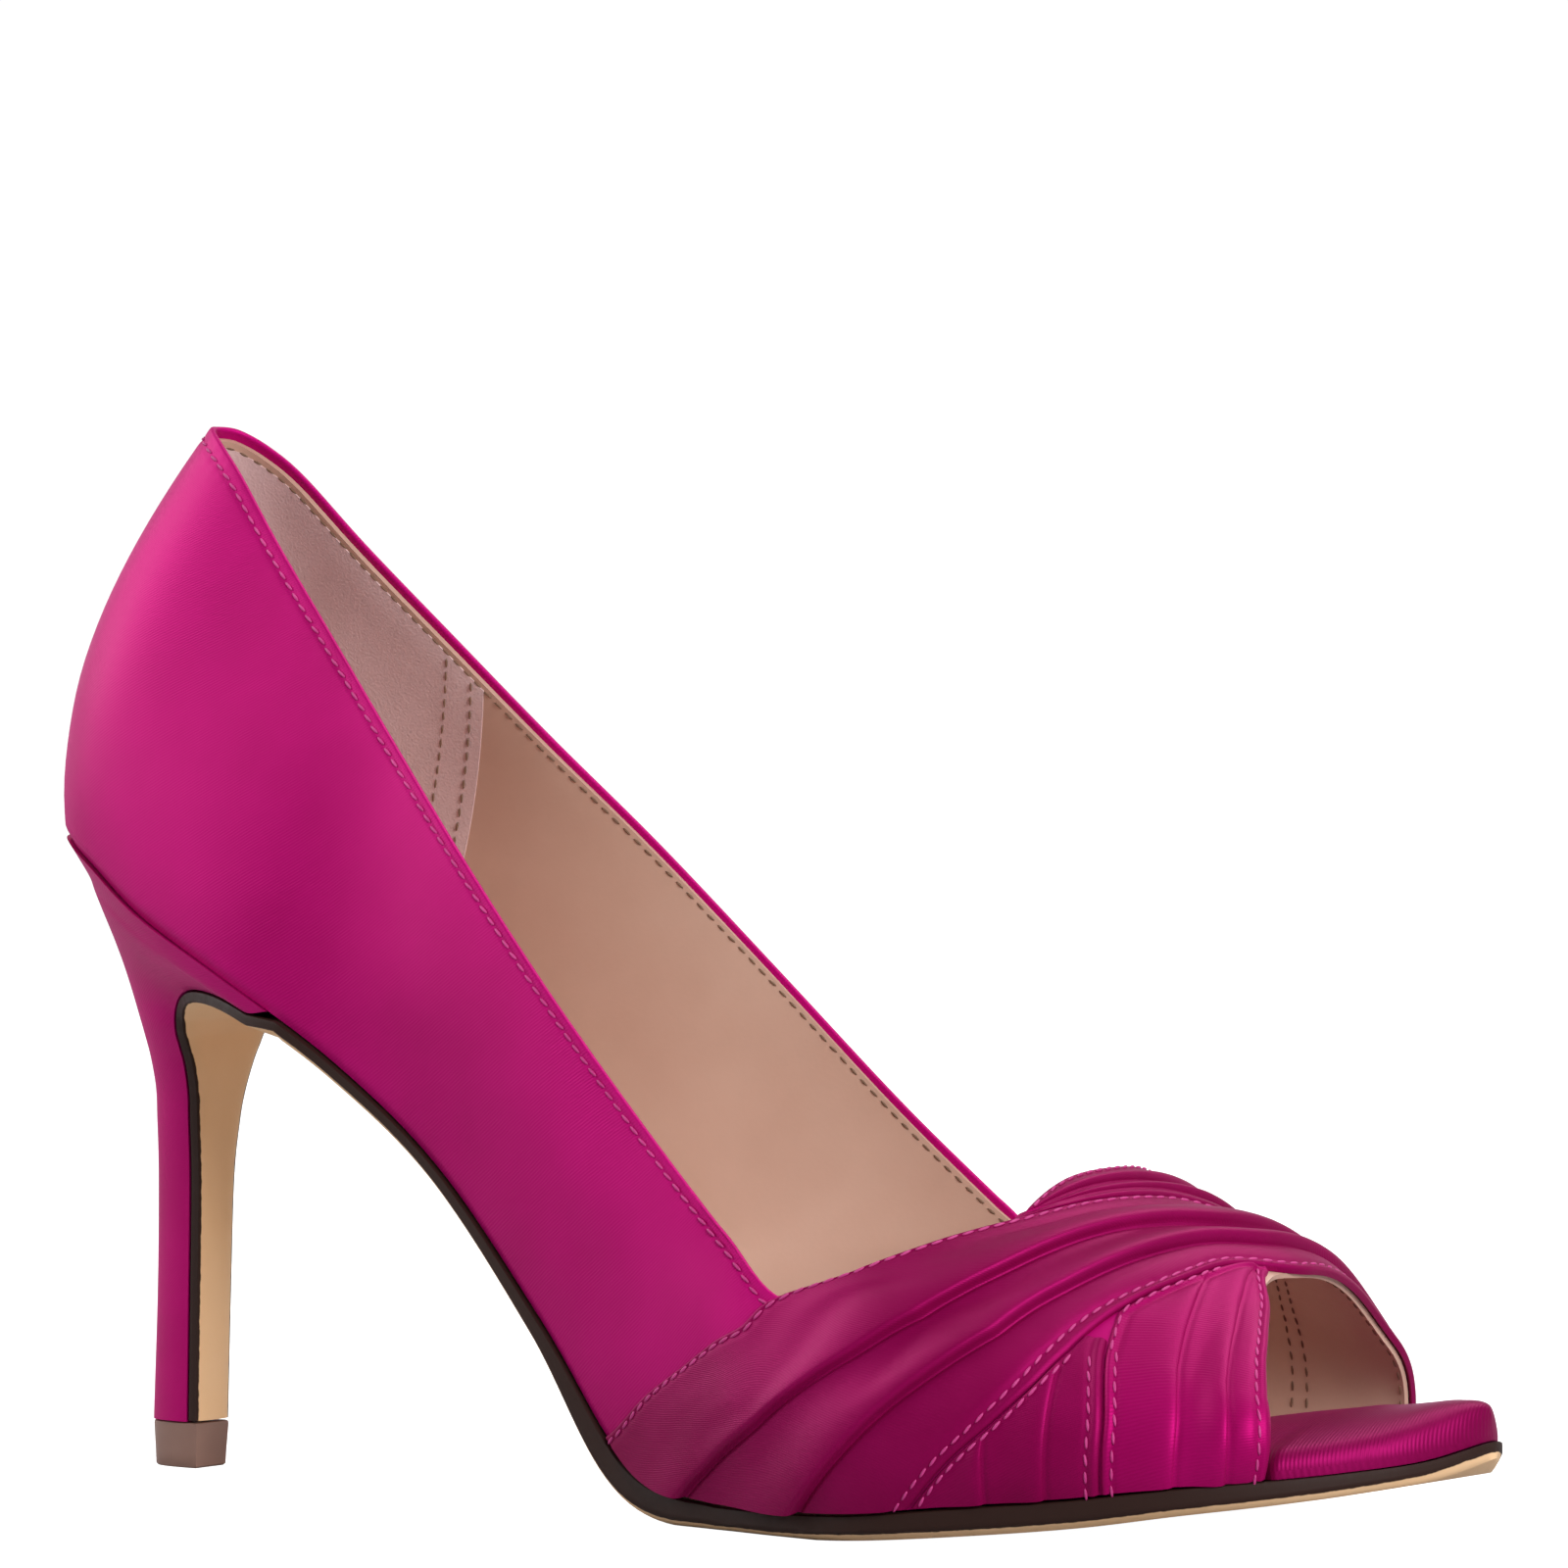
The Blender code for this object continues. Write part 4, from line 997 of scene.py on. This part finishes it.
def band_height(spec, turn, along):
    """The height of a band's face over the last: pleats, thickness, creases and seams."""
    rear, front = spec["rear"](turn), spec["front"](turn)
    folds = [np.minimum(fold(turn), front - LEAST_PLEAT) for fold in spec["folds"]]
    edges = [rear, *folds, front]
    height = np.zeros(np.broadcast(turn, along).shape)
    for low, high in zip(edges, edges[1:]):
        wide = np.maximum(high - low, 0.1)
        share = (along - low) / wide
        rise = 0.15 * swell(share, 0, 0.6) if high is front else pleat(np.clip(share, 0, 1), wide)
        rise = rise * spec["strength"] * np.minimum(1, wide / 3.5)
        height = np.where((share >= 0) & (share <= 1.0), rise, height)
    for fold in folds:
        height = height - 0.28 * spec["strength"] * bump_at(along - fold - 0.35, 0.38)
    thin, front_thin = spec["thin"]
    height = height + spec["thick"] * (thin + (1 - thin) * swell(along - rear, 0, 7.0))
    height = height * (1 - (1 - front_thin) * swell(along - front, -4.0, -0.3))
    for turn0, share0, turn1, share1, half, depth in spec["creases"]:
        s = np.clip((turn - turn0) / (turn1 - turn0), 0, 1)
        centre = rear + (front - rear) * (share0 + (share1 - share0) * s)
        window = swell(turn, turn0, turn0 + 0.25) * (1 - swell(turn, turn1 - 0.25, turn1))
        height -= depth * window * bump_at(along - centre, half)
    for edge, drop in ((rear, spec["rear_seam"]), (front, spec["front_seam"])):
        if drop:
            drop = seam_setback(drop, turn)
            inward = np.abs(along - edge)
            height -= 0.20 * bump_at(inward - drop, 0.42)
            height += 0.12 * bump_at(inward - drop * 0.45, 0.5)
    near = np.clip(np.minimum(along - rear, front - along) / FOLD_EDGE, 0, 1)
    return BAND_BASE + height * (0.25 + 0.75 * np.sqrt(1 - (1 - near) ** 2))


def across_samples(spec, turn, count=84):
    """Places across a band at each turn, crowded at its folds and edges."""
    rear, front = (spec[edge](turn)[:, None] for edge in ("rear", "front"))
    folds = [np.clip(fold(turn)[:, None], rear + LEAST_PLEAT, front - LEAST_PLEAT)
             for fold in spec["folds"]]
    s = np.linspace(0, 1, count // (len(folds) + 1) + 1)
    s = (s - 0.12 * np.sin(2 * math.pi * s))[None, :-1]
    body = [low + (high - low) * s for low, high in zip([rear, *folds], [*folds, front])]
    edges = np.array([[0.08, 0.22, 0.42, 0.7]])
    return np.sort(np.concatenate([*body, front, rear + edges, front - edges], axis=1), axis=1)


def make_band(name, spec, stands_for, turns, finish=SHADED_PLEATED_SATIN):
    """A band over a range of turns, its hidden edges tucked under the piece that covers them."""
    along = across_samples(spec, turns)
    turn = turns[:, None] + 0 * along
    face = on_last(turn, along, band_height(spec, turn, along))
    rear, front = spec["rear"](turn), spec["front"](turn)
    tuck = spec["tuck_rear"](turn) * (1 - swell(along - rear, 0.38, 0.5))
    tuck = np.maximum(tuck, spec["tuck_front"](turn) * (1 - swell(front - along, 0.38, 0.5)))
    under = on_last(turn, along, BAND_BASE - TUCK * tuck)
    rings = np.concatenate([face, under[:, ::-1]], axis=1)
    finish_rings(name, rings, finish, (stands_for,))


def column(table, number):
    return lambda turn: smooth_rows(table, turn, number)


def own_column(number):
    """A column of the under band's table, whose turns are counted from the medial side."""
    return lambda turn: smooth_rows(UNDER_BAND, 4 - np.asarray(turn, float), number)


def folds_between(low, high, *shares):
    """Folds at shares of the way from one edge to another."""
    return [lambda turn, share=share: low(turn) + (high(turn) - low(turn)) * share
            for share in shares]


def everywhere(value):
    return lambda turn: value + 0 * turn


PLAIN_BAND = {
    "thick": 0.62, "strength": 0.4, "thin": (0.9, 1.0), "rear_seam": 0.0, "front_seam": 0.0,
    "tuck_rear": everywhere(0), "tuck_front": everywhere(0), "creases": (),
}
print("a plain band is", PLAIN_BAND["thick"], "mm thick")

# %% The two pleated bands
outer_rear = column(OUTER_BAND, 1)
under_rear = own_column(1)


def outer_fold(turn):
    """The front fold, drawn back a little where it crosses the top of the end panel."""
    return smooth_rows(OUTER_BAND, turn, 4) - 1.7 * bump_at(turn - 1.70, 0.16)


def outer_front(turn):
    return np.minimum(outer_fold(turn), rim_edge(turn))


def under_front(turn):
    free = np.minimum(own_column(2)(turn), outer_rear(turn) - GAP)
    return np.maximum(free, under_rear(turn) + GAP)


# Creases: turn and share of the width at each end, half width in mm, depth in mm
OUTER = {
    **PLAIN_BAND, "rear": outer_rear, "front": outer_front,
    "folds": (column(OUTER_BAND, 2), column(OUTER_BAND, 3)),
    "thick": 1.05, "strength": 1.35, "thin": (0.45, 0.5),
    "rear_seam": 0.65, "front_seam": lambda turn: 1.9 - 0.8 * swell(turn, 1.0, 1.45),
    "tuck_rear": lambda turn: swell(turn, 1.0, 1.02) * (1 - swell(turn, 1.62, 1.66)),
    "tuck_front": lambda turn: swell(turn, 1.62, 1.7),
    "creases": ((1.25, 0.12, 2.1, 0.20, 0.7, 0.30), (1.5, 0.47, 2.3, 0.52, 0.6, 0.28),
                (0.1, 0.30, 1.2, 0.24, 2.4, 0.30), (0.5, 0.58, 1.3, 0.55, 1.6, 0.25),
                (2.2, 0.15, 3.8, 0.18, 0.7, 0.25), (2.3, 0.80, 3.8, 0.78, 0.8, 0.25)),
}
UNDER = {
    **PLAIN_BAND, "rear": under_rear, "front": under_front,
    "folds": folds_between(under_rear, under_front, 0.5, 0.78),
    "thick": 1.0, "strength": 0.9, "thin": (0.7, 0.8), "rear_seam": 0.5,
    "tuck_rear": lambda turn: swell(turn, 1.5, 1.55) * (1 - swell(turn, 2.98, 3.0)),
    "creases": ((1.7, 0.2, 2.6, 0.25, 0.7, 0.25),),
}
# The bands wear the darker copy of the satin, which is painted shade.
make_band("outer_band", OUTER, "band_outer", np.linspace(0.015, 3.985, 200))
make_band("under_band", UNDER, "band_under", np.linspace(1.46, 3.985, 140))

# %% The end panel and the fillers
panel_back = column(RIM, 2)


def panel_rear(turn):
    return np.maximum(panel_back(turn), outer_fold(turn) + GAP)


def panel_front(turn):
    """The rim as the panel's folded edge draws it, straight up to the outer band's fold."""
    return rim_edge(turn) + 0.5 - 1.6 * bump_at(turn - 1.78, 0.13)


def beyond(edge, gap):
    return lambda turn: edge(turn) + gap


PANEL = {
    **PLAIN_BAND, "rear": panel_rear, "front": panel_front,
    "folds": folds_between(panel_back, rim_edge, 0.475, 0.797),
    "thin": (0.9, 0.9), "rear_seam": 1.35, "front_seam": 1.1, "tuck_front": everywhere(1),
}
LATERAL_FILL = {
    **PLAIN_BAND, "rear": beyond(outer_fold, GAP), "front": beyond(panel_back, -GAP),
    "folds": (everywhere(0.759 * LENGTH), everywhere(0.7945 * LENGTH)), "front_seam": 1.6,
}
MEDIAL_FILL = {
    **PLAIN_BAND, "rear": beyond(own_column(2), GAP), "front": beyond(outer_rear, -GAP),
    "rear_seam": 1.2,
}
MEDIAL_FILL["folds"] = folds_between(MEDIAL_FILL["rear"], MEDIAL_FILL["front"], 0.5)
# The end panel wears a darker copy of the satin, which is painted shade.
make_band("end_panel_satin", PANEL, "end_panel", np.linspace(0.015, 1.79, 110), SHADED_PANEL_SATIN)
make_band("filler_lateral_satin", LATERAL_FILL, "filler_lateral", np.linspace(0.015, 1.06, 60))
make_band("filler_medial_satin", MEDIAL_FILL, "filler_medial", np.linspace(2.96, 3.985, 60))

# %% [markdown]
# ## Insole
# The insole is a board covered in leather. Where it shows in the open toe it is padded and
# covered in the same satin, crowned in the middle and rolled over its edge. Both parts are lofts
# across the last, with an edge rounded like a pulled cover.


# %% Leather sock and satin toe
TOE_PAD = 2.6
EDGE_WIDTH = 2.2
JOIN_ALONG = 0.76 * LENGTH


def insole_inset(t, side):
    """How far in from the feather line: inside the upper, then out to the sole's edge past it."""
    rim = rim_edge(np.array(0.0 if side < 0 else 4.0))
    past = spline(LAST, t)[..., 0] * LENGTH - rim
    return EDGE_WIDTH * (1 - swell(past, 0.1, 1.6))


def eased(share):
    """A quarter round from 0 to 1."""
    return np.sqrt(1 - (1 - np.clip(share, 0, 1)) ** 2)


def insole_rings(rows, crowned):
    left, right = (feather(rows, side, insole_inset(rows, side)) for side in (-1.0, 1.0))
    wide = np.linalg.norm(right - left, axis=-1)[:, None]
    share = 0.5 - 0.5 * np.cos(np.linspace(0, math.pi, 45))[None, :]
    base = left[:, None] + (right - left)[:, None] * share[..., None]
    along = spline(LAST, rows)[:, :1] * LENGTH
    rolled = 0.42 + 0.58 * eased((LAST[-1, 0] * LENGTH - along) / TOE_ROLL)
    from_edge = np.minimum(share, 1 - share) * wide
    flat = INSOLE_THICKNESS * (0.30 + 0.70 * eased(from_edge / EDGE_WIDTH))
    opening = RIM[0, 1] * LENGTH - JOIN_ALONG
    crown = np.clip((along - JOIN_ALONG) / opening, 0, 1) * TOE_CROWN
    ends = (swell(along, JOIN_ALONG, 0.81 * LENGTH)
            * (1 - 0.35 * swell(along, 0.82 * LENGTH, 0.92 * LENGTH)))
    raised = (crown + ends * TOE_PAD) * (1 - np.abs(2 * share - 1) ** 2.4)
    top = base.copy()
    top[..., 2] += (flat + raised * crowned) * rolled
    base[..., 2] -= 0.22 * crowned
    return np.concatenate([top, base[:, ::-1]], axis=1)


join_row, toe_start = float(row_at(JOIN_ALONG)), float(row_at(JOIN_ALONG + 0.3))
sock_rows = np.concatenate([np.linspace(0.08, 1, 12), np.linspace(1, join_row, 110)[1:]])
finish_rings("leather_sock", insole_rings(sock_rows, 0.0), LINING, ("insole_sock",))
toe_rows = np.concatenate([np.linspace(toe_start, 17.5, 90), np.linspace(17.5, 18.6, 24)[1:],
                           np.linspace(18.6, 18.99, 14)[1:]])
# The toe cover's satin is darkened as painted shade for the shadow in the opening.
finish_rings("satin_toe_cover", insole_rings(toe_rows, 1.0), SHADED_RIBBED_SATIN,
             ("insole_toe",))

# %% [markdown]
# ## Outsole
# The sole is tan leather with its cut side stained dark brown and its lower corner bevelled. It
# runs under the forefoot, up the shank, and turns down the front of the heel as a flap. One loft
# does it all: each ring has a flat top, a side wall, a bevel and an underside, and a painted mask
# says where the stain lies.


# %% Sole with its stained edge
def sole_material():
    """Tan leather, stained dark where the mask says so, with a slightly uneven border."""
    finish = leather_material("sole_leather_stained", (0.84, 0.530, 0.290), (0.92, 0.610, 0.360),
                              (0.50, 0.62), 900.0, 0.12)
    tree = finish.node_tree
    inputs = tree.nodes["Principled BSDF"].inputs
    inputs["Specular IOR Level"].default_value = 0.25
    mask = add(tree, "ShaderNodeAttribute", attribute_name="stain").outputs["Fac"]
    place_of = add(tree, "ShaderNodeTexCoord").outputs["Object"]
    uneven = maths(tree, "MULTIPLY_ADD", noise(tree, place_of, 700.0, 3.0), 0.35, mask)
    stained = map_range(tree, uneven, 0.58, 0.72)
    tan = inputs["Base Color"].links[0].from_socket
    tree.links.new(mix_colours(tree, stained, tan, (0.026, 0.009, 0.006)), inputs["Base Color"])
    return finish


SOLE = sole_material()
# Across half the sole's width: inwards in mm, then the stain. Down its side: share of the wall
SOLE_IN = np.array([[0.25, 0.05, 0.0, 0.0, 0.0, 0.0, 0.12, 0.9, 1.8, 3.2]])
SOLE_STAIN = [1, 1, 1, 1, 1, 1, 0.8, 0, 0, 0]
SOLE_DOWN = np.array([[0.0, 0.06, 0.30, 0.5, 0.75, 0.94, 1.0]])


def sole_tops():
    """Left and right top edges and thickness of the sole's rings from the toe to the heel tip,
    and the rows of those on the last."""
    rows = np.concatenate([np.linspace(19, 18.4, 14), np.linspace(18.4, 17, 22)[1:],
                           np.linspace(17, 10, 70)[1:], np.linspace(10, 5.5, 70)[1:]])
    left, right = feather(rows, -1.0, -SOLE_EDGE), feather(rows, 1.0, -SOLE_EDGE)
    left[:, 2] -= CLEARANCE
    right[:, 2] -= CLEARANCE
    flap = curve_through(HEEL, np.linspace(len(HEEL) - 1, 0, 92))
    none = np.zeros(len(flap))
    middle = np.stack([flap[:, 0] * LENGTH, none, flap[:, 1] * HEEL_HEIGHT], -1)
    side = np.stack([none, flap[:, 2] * BALL_WIDTH, none], -1)
    thick = np.concatenate([spline(LAST, rows)[:, 5] * SOLE_THICKNESS, none + FLAP_THICKNESS])
    return np.vstack([left, middle - side]), np.vstack([right, middle + side]), thick, rows


def sole_rings():
    left, right, thick, rows = sole_tops()
    on_heel = np.zeros(len(left) - len(rows))
    run = np.gradient((left + right) / 2, axis=0)
    way = unit(np.stack([-run[:, 2], 0 * run[:, 0], run[:, 0]], -1))
    level = np.concatenate([swell(rows, 10.0, 10.8), on_heel])[:, None]
    way = unit(way * (1 - level) + np.array([0, 0, -1.0]) * level)
    flap = np.concatenate([0 * rows, on_heel + 1])[:, None]
    left, right = left + way * CLEARANCE * flap, right + way * CLEARANCE * flap
    wide = np.linalg.norm(right - left, axis=-1)[:, None]
    thick = thick[:, None]
    bevel = np.minimum(SOLE_BEVEL, thick * 0.5) * (1 - 0.45 * flap)
    wall, corner = SOLE_DOWN * (thick - bevel), thick - bevel * 0.45
    depth = np.concatenate([wall, corner, thick, thick], axis=1)
    inner = np.minimum(SOLE_IN / wide, 0.3)
    middle = np.linspace(0.36, 0.64, 5)[None, :] + 0 * wide
    share = np.concatenate([inner, middle, 1 - inner[:, ::-1]], axis=1)
    down = np.concatenate([depth, thick + 0 * middle, depth[:, ::-1]], axis=1)
    across = (right - left)[:, None]
    under = left[:, None] + across * share[..., None] + way[:, None] * down[..., None]
    under[..., 2] = np.maximum(under[..., 2], 0)
    top_share = np.linspace(1, 0, under.shape[1])[None, :] * (1 - 2 * inner[:, :1]) + inner[:, :1]
    rings = np.concatenate([under, left[:, None] + across * top_share[..., None]], axis=1)
    rings[-1, :, 2] = HEEL_TIP_HEIGHT + CLEARANCE
    mask = np.concatenate([SOLE_STAIN, np.zeros(5), SOLE_STAIN[::-1], np.ones(under.shape[1])])
    return rings, mask


rings, stain_mask = sole_rings()
finish_rings("leather_sole", rings, SOLE, ("outsole",),
             {"stain": stain_mask[None, :]})

# %% [markdown]
# ## Heel and heel tip
# The heel is a slim moulded block wrapped in satin. Its rings are half ellipses behind a straight
# front and grow into the round seat. More rings are found between the table's by the same smooth
# curve, so the profile has no corners. The tip under it is a small D of brown rubber.

# %% Heel
SEAT_FRONT_ROW = 5.4
# Height and inset of each of the tip's rings, in mm
TIP_RINGS = ((0.0, 0.55), (0.25, 0.30), (2.0, 0.22), (HEEL_TIP_HEIGHT - 0.5, 0.0),
             (HEEL_TIP_HEIGHT - 0.15, 0.05), (HEEL_TIP_HEIGHT, 0.3))


def both_sides(x, y, z):
    """A ring that goes out along one side of the shoe and back along the other."""
    left, right = (np.stack(np.broadcast_arrays(x, side * y, z), -1) for side in (-1, 1))
    return np.concatenate([left, right[::-1]])


def heel_rings(count=150):
    rows = np.concatenate([np.linspace(SEAT_FRONT_ROW, 1, 22), np.linspace(1, 0.06, 12)[1:]])
    seat_front = spline(LAST, SEAT_FRONT_ROW)[0]
    angle = np.arcsin(np.clip(1 - spline(LAST, rows)[:, 0] / seat_front, 0, 1))
    rings = []
    for front, front_height, wide, back, back_height in HEEL:
        x = (front + (back - front) * np.sin(angle)) * LENGTH
        z = (front_height + (back_height - front_height) * np.sin(angle)) * HEEL_HEIGHT
        rings.append(both_sides(x, wide * BALL_WIDTH * np.cos(angle), z))
    seat = np.concatenate([feather(rows, -1.0), feather(rows, 1.0)[::-1]])
    seat[:, 2] -= 0.12
    rings = np.array([*rings, seat])
    fine = curve_through(rings, np.linspace(0, len(rings) - 1, count))
    fine[0, :, 2] = HEEL_TIP_HEIGHT + 0.12
    return fine


def tip_rings():
    angle = np.radians(np.linspace(0, 84, 18))
    rings = []
    for height, inset in TIP_RINGS:
        x = HEEL_TIP_X + (TIP_FRONT - TIP_BACK - 2 * inset) * (0.5 - np.sin(angle))
        rings.append(both_sides(x, (HEEL_TIP_WIDTH - 2 * inset) / 2 * np.cos(angle), height))
    return np.array(rings)


finish_rings("satin_heel", heel_rings(), SATIN, ("heel",))
finish_rings("rubber_tip", tip_rings(), TIP_RUBBER, ("heel_tip",))

# %% [markdown]
# ## Sewing it together
# The seams that show are listed here with the stretch they cover: the outer band's two edges, the
# under band's rear edge, the panels, the topline, and inside it the lining's top edge, two rows on
# the counter lining and the rows on the toe lining. The thread is magenta outside and brown inside.


# %% Seams on the outside
def band_seam(spec, edge, start, end, count, setback=None):
    """Points and directions on a band's face, a setback inside its rear or front edge."""
    turns = np.linspace(start, end, count)
    setback = seam_setback(setback or spec[edge + "_seam"], turns)
    along = spec[edge](turns) + (setback if edge == "rear" else -setback)
    lift = band_height(spec, turns, along) + 0.06
    return on_last(turns, along, lift), last_normal(row_at(along), turns)


def wall_seam(rows, drop, medial, depth):
    """Points and directions on a side wall, a drop below the topline and a depth in."""
    turn = turn_at(1 - drop / wall_height(rows, medial), medial)
    return off_last(rows, turn, -depth), last_normal(rows, turn)


seams = [band_seam(*seam) for seam in (
    (OUTER, "rear", 0.03, 3.97, 300), (OUTER, "front", 0.03, 3.97, 300),
    (UNDER, "rear", 1.56, 3.97, 200), (PANEL, "front", 0.03, 1.74, 100),
    (PANEL, "rear", 0.03, 1.0, 60), (LATERAL_FILL, "front", 0.03, 0.94, 60),
    (MEDIAL_FILL, "rear", 3.0, 3.97, 70), (PANEL, "rear", 1.04, 1.6, 50, 0.55),
    (LATERAL_FILL, "rear", 0.05, 0.93, 60, 0.85))]
sew("band_stitches", seams, THREAD, seed=3)

rows = np.linspace(11.0, 0.0, 260)
outer_wall = wall_seam(rows, SEAM_DROP, False, 0.06)
inner_wall = wall_seam(rows[::-1][1:], SEAM_DROP, True, 0.06)
topline = tuple(np.vstack(halves) for halves in zip(outer_wall, inner_wall))
sew("topline_stitches", [topline], THREAD, seed=5)

# %% Seams on the lining
ON_LINING = LINING_DEPTH + 0.04
ON_SUEDE = LINING_DEPTH + 0.42
# Two rows on the toe's lining, as pairs of a turn and a share of the length
TOE_ROWS = (
    ((2.60, 0.800), (2.73, 0.793), (3.10, 0.776), (3.58, 0.769), (3.75, 0.768)),
    ((2.60, 0.807), (2.68, 0.803), (3.08, 0.786), (3.55, 0.780), (3.75, 0.779)),
)
inside = []
for medial in (False, True):
    seam, way = wall_seam(np.linspace(0.15, 10.9, 220), LINING_SEAM_DROP, medial,
                          LINING_DEPTH + 0.05)
    inside.append((seam, -way))
for medial in (False, True):
    for gap in (-0.10, -0.36):
        up = np.linspace(0.12, 0.93, 60)
        t, turn = counter_row(up) + gap, turn_at(up, medial)
        inside.append((off_last(t, turn, -ON_SUEDE), -last_normal(t, turn)))
for row in TOE_ROWS:
    turn = np.linspace(2.6, 3.75, 70)
    along = smooth_rows(np.array(row), turn, 1)
    inside.append((on_last(turn, along, -ON_LINING), -last_normal(row_at(along), turn)))
turn = np.linspace(1.72, 3.75, 130)
along = rim_edge(turn) - RIM_SETBACK - 0.6
inside.append((on_last(turn, along, RIM_LIFT - ON_LINING), -last_normal(row_at(along), turn)))
sew("lining_stitches", inside, BROWN_THREAD, 1.45, 0.34, 0.05, seed=7)

# %% How far the box has grown
new_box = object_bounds()
growth = [round((a - b) / MM, 2) for a, b in zip(new_box[1], cad_box[1])]
print("the box grows by", growth, "mm at its high corner")
